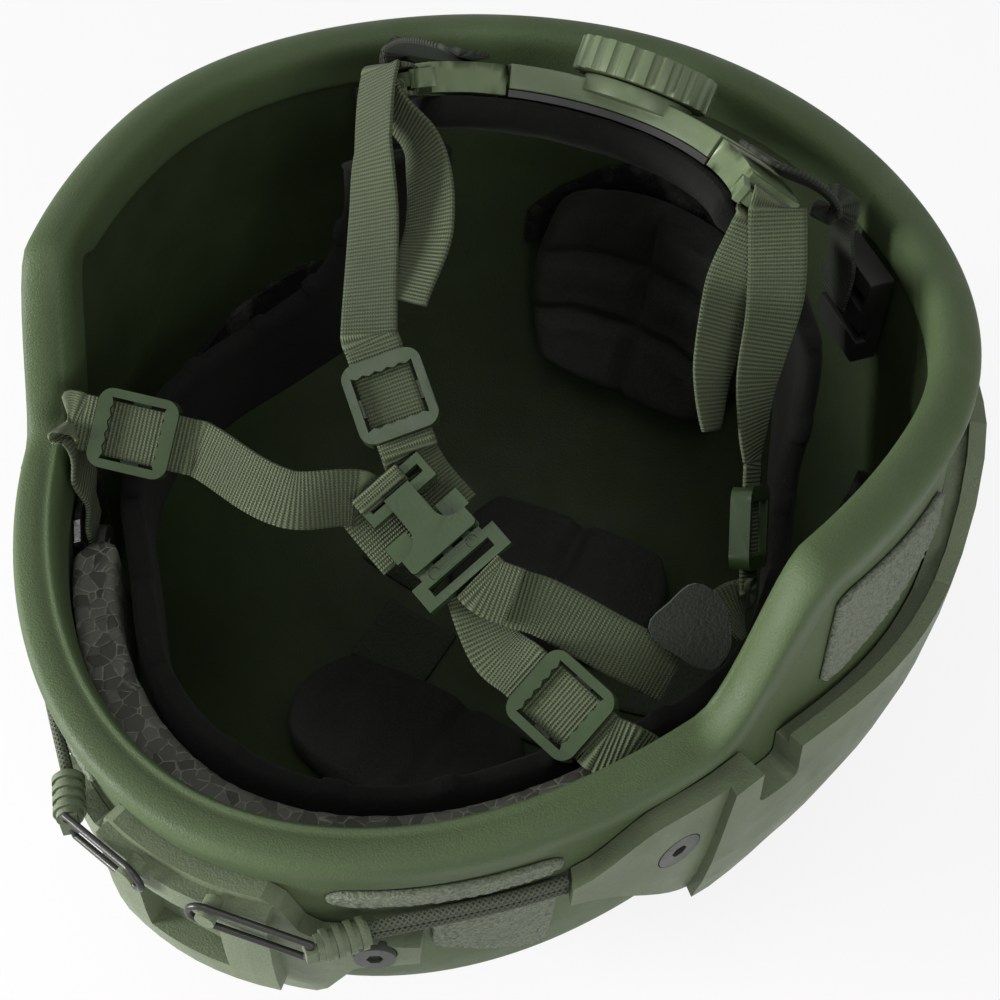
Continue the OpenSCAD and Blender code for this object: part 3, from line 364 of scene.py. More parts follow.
def bead_material(name):
    m, nt, b = material(name, 0.7, (0.012, 0.012, 0.011), Specular_IOR_Level=0.2)
    edge = cells(nt, 260, "DISTANCE_TO_EDGE")
    line = span(nt, edge, 0.012, 0.05, 1.0, 0.0)
    tint = cells(nt, 260, "F1", output="Color")
    sep = nt.nodes.new("ShaderNodeSeparateColor")
    nt.links.new(tint, sep.inputs[0])
    col = mix(nt, sep.outputs[0], (0.036, 0.037, 0.031), (0.090, 0.093, 0.077))
    broken = math_node(nt, "MULTIPLY", line, span(nt, noise_tex(nt, 420, 3), 0.38, 0.58))
    col = mix(nt, math_node(nt, "MULTIPLY", broken, 0.85), col, (0.19, 0.20, 0.155))
    nt.links.new(col, b.inputs["Base Color"])
    nt.links.new(span(nt, sep.outputs[1], 0, 1, 0.5, 0.8), b.inputs["Roughness"])
    bump(nt, b, [(span(nt, edge, 0.0, 0.12), 0.35, 0.0004), (noise_tex(nt, 900, 3), 0.35, 0.0004)])
    return m


def braid(name, color):
    m, nt, b = material(name, 0.8, color, Sheen_Weight=0.1)
    sep = nt.nodes.new("ShaderNodeSeparateXYZ")
    nt.links.new(coords(nt, "UV"), sep.inputs[0])
    x, y = sep.outputs[0], sep.outputs[1]
    along, around = math_node(nt, "MULTIPLY", y, 4.2), math_node(nt, "MULTIPLY", x, 37.7)
    one, two = (math_node(nt, "SINE", math_node(nt, op, along, around)) for op in ("ADD", "SUBTRACT"))
    h = math_node(nt, "MAXIMUM", one, two)
    col = mix(nt, span(nt, h, -0.4, 0.9), shade_of(color, 0.3), shade_of(color, 1.25))
    nt.links.new(col, b.inputs["Base Color"])
    bump(nt, b, [(h, 0.8, 0.0003)])
    return m


# Materials, named as the record's slots, then three more for pieces that share a slot
MAT = {
    "shell_paint": coat("shell_coat_shaded_inside", GREEN, inner=GREEN_PAINTED_SHADE_INSIDE),
    "trim_rubber": coat("trim_coat", (0.060, 0.088, 0.038), grain=1900, grain_strength=0.5, rough=0.55),
    "rail_plastic": coat("rail_coat", (0.122, 0.148, 0.091), grain=1700, grain_strength=0.4, rough=0.52),
    "fastener": plastic("dark_fastener", (0.05, 0.055, 0.045), 0.4),
    "hook_wire": plastic("hook_wire_coat", (0.022, 0.023, 0.020), 0.35),
    "cord": braid("cord_braid", (0.060, 0.074, 0.042)),
    "loop_tape": fuzzy("loop_tape_pile", (0.185, 0.222, 0.140)),
    "bead_foam": bead_material("bead_foam_cells"),
    "liner_fabric": soft_black("liner_knit"),
    "gloss_black": gloss_black("glossy_strip"),
    "dark_plastic": plastic("dark_plastic_grain", (0.018, 0.018, 0.017), 0.45),
    "dark_webbing": webbing("dark_web", (0.020, 0.024, 0.015), width=14),
    "green_plastic": plastic("green_plastic_grain", (0.102, 0.134, 0.070), 0.42),
    "green_webbing": webbing("green_web", (0.068, 0.086, 0.044)),
    "tab_fabric": fuzzy("tab_pile", (0.0045, 0.0085, 0.0025), dark=0.5, strength=0.6, sheen=0.08),
    "fitting": plastic("fitting_plastic_grain", (0.024, 0.043, 0.015), 0.34),
    "band_knit": soft_black("band_knit", (0.0052, 0.0053, 0.0047)),
    "floor_tape": fuzzy("floor_tape_pile", (0.024, 0.034, 0.013), dark=0.5, sheen=0.05),
}

# Bevel of each rigid piece from the solids, in millimetres
BEVEL = {"rail_right": 0.9, "rail_left": 0.9, "nvg_shroud": 0.8, "cradle_housing": 0.9, "cradle_arm_right": 0.8,
         "cradle_arm_left": 0.8, "dial_knob": 0.6, "slider_a": 0.55, "slider_b": 0.55, "slider_c": 0.55,
         "slider_d": 0.55, "buckle_socket": 0.3, "buckle_plug": 0.5, "prong_right": 0.4, "prong_left": 0.4,
         "rail_screws": 0.35, "shroud_screws": 0.35, "ferrule_right": 0.3, "ferrule_left": 0.3,
         "nape_bracket_right": 0.6, "nape_bracket_left": 0.6, "anchor_right": 0.4, "anchor_left": 0.4}


# Building helpers
def finish_mesh(name, verts, faces, mat, node, uvs=None, cross=None):
    """A piece that stands for a node. verts are in millimetres, uvs are one pair per vertex.
    cross is a moving body and the two ends of the bend between it and the helmet; only whether it is given is
    read, and such a piece then stays in world space, held by no body."""
    me = bpy.data.meshes.new(name)
    me.from_pydata([tuple(np.asarray(v) / 1000) for v in verts], [], faces)
    me.materials.append(MAT[mat])
    me.shade_smooth()
    if uvs is not None:
        layer = me.uv_layers.new(name="map")
        for poly in me.polygons:
            for li in poly.loop_indices:
                layer.data[li].uv = uvs[me.loops[li].vertex_index]
    o = bpy.data.objects.new(name, me)
    bpy.context.scene.collection.objects.link(o)
    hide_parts(node)
    if cross:
        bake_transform(o)
    else:
        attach(o, next(b for b, held in bodies.items() if node in held))
    return o


def rings_mesh(rings, closed=False):
    n, m = len(rings), len(rings[0])
    faces = []
    for i in range(n if closed else n - 1):
        for j in range(m):
            faces.append((i * m + j, i * m + (j + 1) % m, (i + 1) % n * m + (j + 1) % m, (i + 1) % n * m + j))
    if not closed:
        faces.append(tuple(range(m - 1, -1, -1)))
        faces.append(tuple((n - 1) * m + j for j in range(m)))
    return [p for r in rings for p in r], faces


def band(points, widths, n, w, t, seed):
    """One run of woven band: slightly thicker selvages, UV in millimetres."""
    s, d = spline(points, n), spline(widths, n)
    tan = tangents(s)
    xs = [-0.5, -0.47, -0.4, -0.27, -0.13, 0, 0.13, 0.27, 0.4, 0.47, 0.5]
    rings, uvs, run = [], [], 0.0
    for i in range(len(s)):
        if i:
            run += np.linalg.norm(s[i] - s[i - 1])
        e = unit(d[i] - (d[i] @ tan[i]) * tan[i])
        q = np.cross(tan[i], e)
        ring, uv = [], []
        for side in (-1, 1):
            for x in (xs if side < 0 else xs[::-1]):
                thick = t / 2 * (0.45 if abs(x) == 0.5 else (1.0 if abs(x) < 0.45 else 0.98))
                lift = 0.12 * noise.noise(Vector((x * 3, run / 14, seed)))
                ring.append(s[i] + e * x * w + q * (side * thick + lift))
                uv.append((x * w, run))
        rings.append(ring)
        uvs += uv
    return rings_mesh(rings), uvs


def strap(name, points, widths, node, mat="green_webbing", w=15.0, t=1.4, more=(), cross=None):
    """more holds further runs of the same webbing, as pairs of points and widths."""
    runs = [band(p, d, 14, w, t, len(name)) for p, d in ((points, widths), *more)]
    verts, faces, uvs = join(runs)
    finish_mesh(name, verts, faces, mat, node, uvs=uvs, cross=cross)


def tube(points, r):
    """A round cord of radius r. UV is around from 0 to 1, and along in millimetres."""
    sides = 16
    s = spline(points, 8)
    tan = tangents(s)
    rings, uvs, run = [], [], 0.0
    for i in range(len(s)):
        if i:
            run += np.linalg.norm(s[i] - s[i - 1])
        u = unit(np.cross(tan[i], vec(0, 0, 1)))
        v = np.cross(tan[i], u)
        rings.append([s[i] + r * (cosd(360 * k / sides) * u + sind(360 * k / sides) * v) for k in range(sides)])
        uvs += [(k / sides, run) for k in range(sides)]
    return rings_mesh(rings), uvs


def join(parts):
    verts, faces, uvs = [], [], []
    for (v, f), u in parts:
        k = len(verts)
        verts += list(v)
        uvs += list(u)
        faces += [tuple(i + k for i in g) for g in f]
    return verts, faces, uvs


# Webbing routes: the same points as in the part's source
TO_VIEW = vec(0.31, -0.55, 0.775)
CRADLE_R, CRADLE_AT, PITCH, LEAN, HOUSE_H, HOUSE_T = 54.0, (3.0, 43.9, 215.0), 22.0, 65.0, 17.0, 9.0


def cradle_pt(f, u, v):
    """A point of the rear cradle: f degrees round its arc, u across its band and v out from its inner face."""
    r = CRADLE_R + sind(LEAN) * u - cosd(LEAN) * v
    h = -cosd(LEAN) * u - sind(LEAN) * v
    x, y = r * sind(f), r * cosd(f)
    cx, cy, cz = CRADLE_AT
    return vec(cx + x, cy + y * cosd(PITCH) + h * sind(PITCH), cz - y * sind(PITCH) + h * cosd(PITCH))


def width_of(u, face):
    return unit(np.cross(face - (face @ u) * u, u))


A_AT, A_U = vec(-10.5, -13.9, 166), unit(vec(19.7, -16.5, -12))
B_AT, B_U = vec(-71.8, -45.4, 150), unit(vec(0.95, 0.28, -0.1))
D_AT, D_U = vec(80.9, 14.6, 136), unit(vec(0.33, -0.67, -0.67))
BUCKLE, BUCKLE_U = vec(14.5, -36.2, 149.4), unit(vec(0.907, -0.327, -0.267))
WIDE_D, WIDE_BAR = width_of(D_U, vec(0.99, 0.1, 0.12)), width_of(BUCKLE_U, TO_VIEW)
WIDE_CHIN = width_of(vec(0.93, 0.12, -0.36), TO_VIEW)


def buckle_pt(x, y, z=0.0):
    n = unit(TO_VIEW - (TO_VIEW @ BUCKLE_U) * BUCKLE_U)
    return BUCKLE + x * BUCKLE_U + y * np.cross(n, BUCKLE_U) + z * n


C_AT, C_U = buckle_pt(55, -3.6, 0.4), unit(vec(0.955, -0.275, -0.11))
WIDE_A, WIDE_B, WIDE_C = (width_of(u, TO_VIEW) for u in (A_U, B_U, C_U))


def ring_width(s):
    return unit(cradle_pt(s * 68, 7, 4.5) - cradle_pt(s * 68, 9, 4.5))


def ring_loop(s):
    return [cradle_pt(s * f, HOUSE_H / 2, v) for f, v in
            ((72.5, 0.9), (68.3, 0.8), (66.1, 2.1), (65.5, 4.5), (66.1, 6.9), (68.3, 8.2), (72.5, 8.1))]


def through(at, u, far=18.0):
    return [at + d * u for d in (far, far - 3, -15, -18)]


def under(y, q):
    return [buckle_pt(-2, y, -5.6), buckle_pt(-13, y, -5.4), buckle_pt(-18.6, y + q, -3.7),
            buckle_pt(-20.9, y + 2 * q, -1.2)]


WALL_OFF, ANCHOR_T, ANCHOR_A = SHELL_T + 0.8, 2.0, 44.5
anchor_strap = [on(ANCHOR_A, z, -WALL_OFF - ANCHOR_T - d)
                for z, d in ((113.5, 1.7), (117, 1.7), (121, 1.9), (128, 4))]
anchor_side = across(ANCHOR_A, 118)
flip = vec(-1, 1, 1)
rl, rr = ring_width(-1), ring_width(1)

strap("strap_a", under(7.2, 0.8) + through(A_AT, A_U, 14.2) + [vec(-38, 24.9, 186), vec(-46, 38.9, 196)]
      + ring_loop(-1) + [vec(-37, 48.9, 192), vec(-23.5, 28.9, 184), vec(-20, 7.9, 178)],
      [WIDE_BAR] * 4 + [WIDE_A] * 4 + [rl + WIDE_A] + [rl] * 9 + [rl + WIDE_A, WIDE_A], node="strap_rear_left",
      cross=("arm_left", ring_loop(-1)[3], A_AT - 20 * A_U))
strap("strap_d", [vec(85, -10, 126.5)] + through(D_AT, D_U) + [vec(70, 36.9, 165), vec(67, 50.9, 183)]
      + ring_loop(1) + [vec(56, 48.9, 183), vec(59, 32.9, 168), vec(64, 22.9, 157)],
      [WIDE_D + 1.2 * width_of(D_U, TO_VIEW)] + [WIDE_D] * 4 + [WIDE_D - rr] + [-rr] * 9
      + [WIDE_D - rr, WIDE_D],
      node="strap_rear_right", cross=("arm_right", ring_loop(1)[3], D_AT - 20 * D_U))

# The webbing's turn round the buckle's rear bar
bar_loop = [buckle_pt(x, -3.1, z) for x, z in
            ((-17.8, 2.25), (-19.2, 2.1), (-19.75, 0.8), (-19.75, -0.8), (-19.2, -2.1), (-17.8, -2.25),
             (-16.5, -2.1), (-15.85, -0.8), (-15.85, 0.8), (-16.5, 2.1), (-17.8, 2.25))]
strap("strap_b", [flip * p for p in anchor_strap] + [vec(-86.5, -54.6, 139), vec(-87, -51.1, 148.5)]
      + through(B_AT, -B_U) + [vec(-23.5, -46.5, 152.5)] + under(-9.3, 0.2)[::-1],
      [flip * anchor_side] * 4 + [vec(-0.5, 0.75, 0.2), vec(-0.2, 0.8, 0.4)] + [WIDE_B] * 5 + [WIDE_BAR] * 4,
      node="strap_front_left", more=[(bar_loop, [WIDE_BAR] * len(bar_loop))])
strap("strap_c", anchor_strap[:3] + [buckle_pt(74.5, 1, 0.2)] + [C_AT + d * C_U for d in (14, 12, -12, -14)]
      + [buckle_pt(33, -7, -5.4), buckle_pt(25, -5, -5.8), buckle_pt(17, -1.5, -3.8)],
      [anchor_side] * 3 + [WIDE_C] * 5 + [WIDE_BAR] * 3, node="strap_front_right",
      cross=("plug", buckle_pt(17, -1.5, -3.8), buckle_pt(46, -3.6)))
strap("strap_chin", [buckle_pt(16.2, 1.5), buckle_pt(20, 1.8, -0.3), buckle_pt(25, 4.2, -0.9),
                     buckle_pt(33, 9.1, -3), buckle_pt(51.4, 16.3, -9.8), vec(77.7, -31.9, 128),
                     vec(81, -31.2, 126.4)],
      [WIDE_BAR] * 2 + [WIDE_CHIN] * 5, node="strap_chin",
      cross=("plug", buckle_pt(20, 1.8), buckle_pt(50, 15.5)),
      more=[([buckle_pt(16.3, 1.5, 1.55), buckle_pt(20, 1.9, 1.3), buckle_pt(26.5, 5.2, 0.65)],
             [WIDE_BAR] * 2 + [WIDE_CHIN])])

# Shell and edge trim on the same surface as the solids, in fine smooth steps
COLS, LOW, WALL = 240, 30, 14  # steps round, rows up to the widest height, rows above it
turn = [360 * i / COLS for i in range(COLS)]


def row_z(a, i):
    if i <= LOW:
        return WALL_Z * (1 - cosd(90 * i / LOW) ** (2 / DOME_M))
    return WALL_Z + (rim_z(a) - WALL_Z) * (i - LOW) / WALL


shell_verts = []
for a in turn:
    rows = range(1, LOW + WALL + 1)
    shell_verts += [on(a, row_z(a, i), 0) for i in rows]
    shell_verts += [on(a, row_z(a, i), -SHELL_T) for i in reversed(rows)]
ring = 2 * (LOW + WALL)
shell_faces = []
for i in range(COLS):
    k = (i + 1) % COLS
    for j in range(ring - 1):
        shell_faces.append((i * ring + j, k * ring + j, k * ring + j + 1, i * ring + j + 1))
    shell_faces.append((COLS * ring, k * ring, i * ring))
    shell_faces.append((COLS * ring + 1, i * ring + ring - 1, k * ring + ring - 1))
shell_verts += [vec(0, CROWN_Y, 0), vec(0, CROWN_Y, SHELL_T)]
finish_mesh("shell_skin", shell_verts, shell_faces, "shell_paint", "shell")

# Section of the trim: gap to the shell, thickness, length of its lips, and the seat inside
G, T, L = 0.3, 2.3, 12.5
S = SHELL_T + G
TRIM = [(-S, -L), (-S - 0.8, -L), (-S - 0.75 * T, -L / 2), (-S - T, -1.5), (-S - 0.4 * T, 1.6),
        (-S + 2.2, T + 0.6), (-2.2, T + 0.6), (0.55 * T, 1.6), (G + T, -1.5), (G + 0.75 * T, -L / 2),
        (G + 0.8, -L), (G, -L), (G, -L / 2), (G, G), (-S, G), (-S, -L / 2)]
PER_RADIAN = 57.3  # degrees


def cut_corners(points, rounds):
    for _ in range(rounds):
        out = []
        for i, p in enumerate(points):
            q = points[(i + 1) % len(points)]
            out += [(0.75 * p[0] + 0.25 * q[0], 0.75 * p[1] + 0.25 * q[1]),
                    (0.25 * p[0] + 0.75 * q[0], 0.25 * p[1] + 0.75 * q[1])]
        points = out
    return points


def rim_tilt(a):
    p, q = base(a - 8, rim_z(a - 8)), base(a + 8, rim_z(a + 8))
    return math.degrees(math.atan2(q[2] - p[2], math.hypot(q[0] - p[0], q[1] - p[1])))


trim_round = cut_corners(TRIM, 2)
rings = []
for a in turn:
    t, r = rim_tilt(a), plan_r(a)
    rings.append([on(a - p[1] * sind(t) * PER_RADIAN / r, rim_z(a) + p[1] * cosd(t), p[0]) for p in trim_round])
verts, faces = rings_mesh(rings, closed=True)
finish_mesh("rim_trim", verts, faces, "trim_rubber", "edge_trim")

# Nape webs
BRACKET_A, WEB_SEAT = 131, SHELL_T + 9.2 + 1.7
for s, side in ((1, "right"), (-1, "left")):
    edge = unit(cradle_pt(s * 46, 7, 0) - cradle_pt(s * 46, 9, 0))
    strap("nape_band_" + side,
          [cradle_pt(s * 43, HOUSE_H / 2, -1.7), cradle_pt(s * 50, HOUSE_H / 2, -2.6),
           on(s * BRACKET_A, 186, -WEB_SEAT - 8.5), on(s * BRACKET_A, 172, -WEB_SEAT - 3),
           on(s * BRACKET_A, 161, -WEB_SEAT), on(s * BRACKET_A, 147, -WEB_SEAT)],
          [edge, edge, vec(-0.2 * s, -0.6, 0.8)] + [s * across(s * BRACKET_A, z) for z in (172, 160, 150)],
          node="nape_web_" + side, mat="dark_webbing", w=14.0, t=1.6)

# Bungee cords
HOOK_P = on(12.2, 110, 11.5)
FERRULE_TO = on(16.2, 109.5, 5.5)
CORD_START = HOOK_P + 15.3 * unit(FERRULE_TO - HOOK_P)
for s, side in ((1, "right"), (-1, "left")):
    parts = []
    for k in (-1, 1):
        pts = [CORD_START + vec(0, 0, k * 1.7), on(24, 109 + k * 1.7, 2.3), on(29, 108.6 + k * 1.7, 2.1),
               on(34.7, 108 + k * 1.7, 2.5)]
        parts.append(tube([p * vec(s, 1, 1) for p in pts], 1.5))
    v, f, u = join(parts)
    finish_mesh("bungee_cord_" + side, v, f, "cord", "bungee_" + side, uvs=u)


# Thin fuzzy tape with a fine wavy pile
TAPE_T, PILE_H, PILE_LEAST, PILE_DROP = 1.6, 0.45, 0.3, 0.8


def pile(name, fn, nu, nv, node, seed):
    """fn(u, v, off) gives a point; the pile rises from off = TAPE_T and drops at its ragged border."""
    rings = []
    for i in range(nu + 1):
        u = i / nu
        ring = []
        for j in range(nv + 1):
            ring.append(fn(u, j / nv, 0.0))
        for j in range(nv, -1, -1):
            v = j / nv
            border = min(u, 1 - u, v, 1 - v) < 0.001
            p = fn(u, v, 0)
            n1 = noise.noise(Vector(p) * 0.9 + Vector((seed, 0, 0)))
            n2 = noise.noise(Vector(p) * 2.3 + Vector((0, seed, 0)))
            rise = TAPE_T + PILE_H * (n1 + 0.6 * n2) - (PILE_DROP if border else 0.0)
            ragged = 0.35 * noise.noise(Vector(p) * 1.7) if border else 0.0
            ring.append(fn(u + ragged * 0.01, v + ragged * 0.02, max(rise, PILE_LEAST)))
        rings.append(ring)
    verts, faces = rings_mesh(rings)
    finish_mesh(name, verts, faces, "loop_tape", node)


def corner(t):
    return 3 * abs(2 * t - 1) ** 12


def on_wall(a0, a1, lo, hi, s):
    """A patch of the shell's outside from a0 to a1 degrees, between the heights lo and hi at each end."""
    def fn(u, v, d):
        a = a0 + (a1 - a0) * u
        z0, z1 = lo[0] + (lo[1] - lo[0]) * u + corner(u), hi[0] + (hi[1] - hi[0]) * u - corner(u)
        return on(a, z0 + (z1 - z0) * v, 0.3 + d) * vec(s, 1, 1)
    return fn


for s, side in ((1, "right"), (-1, "left")):
    for part, a0, a1, lo, hi, nu, nv, seed in (("strip", 12.5, 34, (114.5, 114.5), (121, 121), 84, 12, 3.1),
                                               ("front", 21.8, 34, (92, 72), (105, 105), 52, 36, 5.3),
                                               ("side", 67, 92, (127, 141), (165, 155), 70, 50, 8.7)):
        pile(f"tape_{part}_{side}", on_wall(a0, a1, lo, hi, s), nu, nv, f"loop_{part}_{side}", seed * s)

# Square tape pieces on the shell floor
tape_parts, SQUARE, STEPS = [], 25, 12
for cx, cy in ((-29, 10), (31, 10), (-44, 42), (58, 32), (45, -38), (7, 49), (-5, -27.5)):
    rings = []
    for i in range(STEPS + 1):
        x = cx + SQUARE * (i / STEPS - 0.5)
        low = [vec(x, cy + SQUARE * (j / STEPS - 0.5), 0) for j in range(STEPS + 1)]
        for p in low:
            p[2] = shell_floor(p[0], p[1]) + 0.5
        top = [p + vec(0, 0, 1.5 + 0.2 * noise.noise(Vector(p) * 1.3)) for p in reversed(low)]
        rings.append(low + top)
    verts, faces = rings_mesh(rings)
    tape_parts.append(((verts, faces), [(0, 0)] * len(verts)))
v, f, u = join(tape_parts)
tape = finish_mesh("tape_squares", v, f, "floor_tape", "pad_loops")


# Bead foam block at the brow, with rounded edges
def round_section(n, corner_v, corner_d):
    """Rounded rectangle in the unit square, counter-clockwise, in steps of about 0.09 at most."""
    pts = []
    for cx, cy, a0 in ((1 - corner_v, 1 - corner_d, 0), (corner_v, 1 - corner_d, 90),
                       (corner_v, corner_d, 180), (1 - corner_v, corner_d, 270)):
        for k in range(n):
            a = a0 + 90 * k / (n - 1)
            pts.append((cx + corner_v * cosd(a), cy + corner_d * sind(a)))
    fine = []
    for i, p in enumerate(pts):
        q = pts[(i + 1) % len(pts)]
        steps = max(1, int(math.hypot(q[0] - p[0], q[1] - p[1]) / 0.09))
        fine += [(p[0] + (q[0] - p[0]) * k / steps, p[1] + (q[1] - p[1]) * k / steps) for k in range(steps)]
    return fine


BEAD_A, BEAD_H, BEAD_T, BEAD_TOP, BEAD_STEPS = 39, 34, 12.7, 120.8, 96


def bead_fn(u, v, d):
    end = 1 - 0.5 * max(0, (abs(2 * u - 1) - 0.965) / 0.035) ** 2
    dd = 0.5 + (d - 0.5) * end
    return on(-BEAD_A + 2 * BEAD_A * u, BEAD_TOP - BEAD_H * (1 - v), -SHELL_T - 0.8 - BEAD_T * (1 - dd))


def uneven(p):
    """p moved a little, the same way in each run."""
    q = Vector(p) * 0.35
    return p + 0.35 * vec(*(noise.noise(q + Vector((k, 0, 0))) for k in (0, 11, 23)))


rings = [[uneven(bead_fn(i / BEAD_STEPS, v, d)) for v, d in round_section(5, 0.07, 0.2)]
         for i in range(BEAD_STEPS + 1)]
verts, faces = rings_mesh(rings)
finish_mesh("bead_block", verts, faces, "bead_foam", "bead_foam")

# Headband: padded band with a stitched line below each edge
BAND_RIGHT = [(61, 69.9, 174), (68, 67.9, 158), (73, 60.9, 138), (77, 49.9, 120), (84, 31.9, 108),
              (91, 11.9, 104), (93, -12.1, 104), (84, -38.1, 104), (66, -60.1, 104), (40, -87.6, 104),
              (14, -99.6, 104)]
BAND_LEFT = [(-14, -99.6, 104), (-40, -87.6, 104), (-66, -60.1, 104), (-84, -38.1, 104), (-93, -12.1, 104),
             (-90, 11.9, 104), (-80, 31.9, 108), (-67, 45.9, 120), (-57, 53.9, 138), (-52, 57.9, 158),
             (-52, 59.9, 174)]
BAND_UP = [(0.6, -0.75, 0.2), (0.6, -0.7, 0.3), (0.4, -0.6, 0.6), (0.2, -0.4, 0.9), (0, -0.1, 1)]
BAND_UP += [(0, 0, 1)] * 6
BAND_UPS = BAND_UP + [(-x, y, z) for x, y, z in reversed(BAND_UP)]
BAND_W, BAND_T, BAND_SIDES, SEAM_AT, STITCH, LOOP_EVERY, LOOP_H = 32, 7.4, 40, 0.66, 3.0, 29, 1.7


def band_ring(at, up, along, run):
    """One cross-section of the headband, with its two sewn channels and the loops on its upper edge."""
    e = unit(up - (up @ along) * along)
    q = np.cross(along, e)
    stitch = 0.75 + 0.25 * math.cos(run * 2 * math.pi / STITCH)
    ring = []
    for j in range(BAND_SIDES):
        a = 2 * math.pi * j / BAND_SIDES
        x = math.copysign(abs(math.cos(a)) ** 0.42, math.cos(a))
        y = math.copysign(abs(math.sin(a)) ** 0.62, math.sin(a))
        seam = max(math.exp(-((x - SEAM_AT) / 0.045) ** 2), math.exp(-((x + SEAM_AT) / 0.045) ** 2))
        swell = 1 - 0.42 * seam * stitch + 0.07 * noise.noise(Vector((x * 1.5, run / 16, y)))
        loop = LOOP_H * ease((x - 0.8) / 0.15) * ease((3.6 - abs(run % LOOP_EVERY - LOOP_EVERY / 2)) / 0.9)
        ring.append(at + e * (x * BAND_W / 2 + loop) + q * (y * BAND_T / 2 * swell))
    return ring


path, ups = spline(BAND_RIGHT + BAND_LEFT, 22), spline(BAND_UPS, 22)
steps = [0.0] + [np.linalg.norm(path[i] - path[i - 1]) for i in range(1, len(path))]
rings = [band_ring(*ring) for ring in zip(path, ups, tangents(path), np.cumsum(steps))]
verts, faces = rings_mesh(rings)
headband = finish_mesh("headband_pad", verts, faces, "band_knit", "headband")


# Comfort pads: a knitted cover over foam, blown up by cloth simulation between its sewn channels
PAD_T, SEAM_W, PUFF_CAP, PUFF_PRESSURE, PUFF_FRAMES = 15.0, 0.03, 0.007, 4.0, 20


def channel(u, v, seams):
    """How far (u, v) is from the nearest sewn channel, each a direction and its place."""
    return min(abs((u if kind == "u" else v) - at) for kind, at in seams)


def squircle(u, v, k):
    """Rounds the corners of the unit square, the more the larger k is."""
    x, y = 2 * u - 1, 2 * v - 1
    return (1 + x * math.sqrt(1 - k * y * y)) / 2, (1 + y * math.sqrt(1 - k * x * x)) / 2


def pad(name, fn, nu, nv, seams, node, round_k):
    """fn(u, v, d): d is the height above the back face in millimetres. The back stays flat on its seat."""
    front, back = {}, {}
    verts, faces = [], []
    for i in range(nu + 1):
        for j in range(nv + 1):
            u, v = squircle(i / nu, j / nv, round_k)
            border = i in (0, nu) or j in (0, nv)
            e = min(i / nu, 1 - i / nu) * nu, min(j / nv, 1 - j / nv) * nv
            rim = min(1, min(e) / 2.2)
            back[i, j] = len(verts)
            verts.append(fn(u, v, 0.0 if not border else PAD_T * 0.22))
            if border:
                front[i, j] = back[i, j]
                continue
            drop = math.exp(-(channel(u, v, seams) / SEAM_W) ** 2)
            front[i, j] = len(verts)
            verts.append(fn(u, v, PAD_T * (0.55 + 0.35 * rim ** 0.5) * (1 - 0.42 * drop)))
    for i in range(nu):
        for j in range(nv):
            q = [(i, j), (i + 1, j), (i + 1, j + 1), (i, j + 1)]
            faces.append(tuple(back[k] for k in reversed(q)))
            faces.append(tuple(front[k] for k in q))
    o = finish_mesh(name, verts, faces, "liner_fabric", node)
    bm = bmesh.new()
    bm.from_mesh(o.data)
    bmesh.ops.recalc_face_normals(bm, faces=bm.faces)
    bm.to_mesh(o.data)
    bm.free()
    pin = o.vertex_groups.new(name="pin")
    held = set(back.values())
    for (i, j), k in front.items():
        if k in held:
            continue
        if channel(*squircle(i / nu, j / nv, round_k), seams) < SEAM_W * 0.5:
            held.add(k)
    pin.add(sorted(held), 1.0, "REPLACE")
    puff(o)
    o.vertex_groups.clear()
    smooth = o.modifiers.new("smooth", "SUBSURF")
    smooth.levels = smooth.render_levels = 1


def puff(o):
    """Cloth under pressure, each point moved no further than PUFF_CAP metres."""
    before = np.array([v.co[:] for v in o.data.vertices])
    c = o.modifiers.new("cloth", "CLOTH")
    st = c.settings
    st.quality = 6
    st.mass = 0.25
    st.tension_stiffness = st.compression_stiffness = 14
    st.shear_stiffness = 5
    st.bending_stiffness = 0.6
    st.use_pressure = True
    st.uniform_pressure_force = PUFF_PRESSURE
    st.vertex_group_mass = "pin"
    st.shrink_min = -0.03
    st.effector_weights.gravity = 0
    c.collision_settings.use_collision = False
    scene = bpy.context.scene
    for k in range(1, PUFF_FRAMES + 1):
        scene.frame_set(k)
    got = o.evaluated_get(bpy.context.evaluated_depsgraph_get())
    after = np.array([v.co[:] for v in got.data.vertices])
    o.modifiers.remove(c)
    scene.frame_set(1)
    move = after - before
    size = np.linalg.norm(move, axis=1, keepdims=True)
    move *= np.minimum(1, PUFF_CAP / np.maximum(size, 1e-9))
    o.data.vertices.foreach_set("co", (before + move).ravel())
    o.data.update()


REAR_OFF = SHELL_T + 2 + 1.3


def rear_fn(u, v, d):
    a = 151 + 52 * u
    z0, z1 = 56 + 4 * (2 * u - 1) ** 4, 132 - 12 * abs(2 * u - 1) ** 4
    return on(a, z0 + (z1 - z0) * v, -REAR_OFF - d)


pad("rear_cushion", rear_fn, 34, 28, [("u", 0.5), ("v", 0.36), ("v", 0.68)], "pad_rear", 0.30)


def floor_fn(cx, cy, w, d):
    def fn(u, v, h):
        x, y = cx + (u - 0.5) * w, cy + (v - 0.5) * d
        return vec(x, y, shell_floor(x, y) + 2.6 + h)
    return fn


pad("crown_cushion", floor_fn(7, 48.9, 78, 44), 30, 18, [("u", 0.5)], "pad_crown", 0.42)
pad("front_cushion", floor_fn(-5, -27.6, 80, 50), 30, 20, [("u", 0.62)], "pad_front", 0.42)

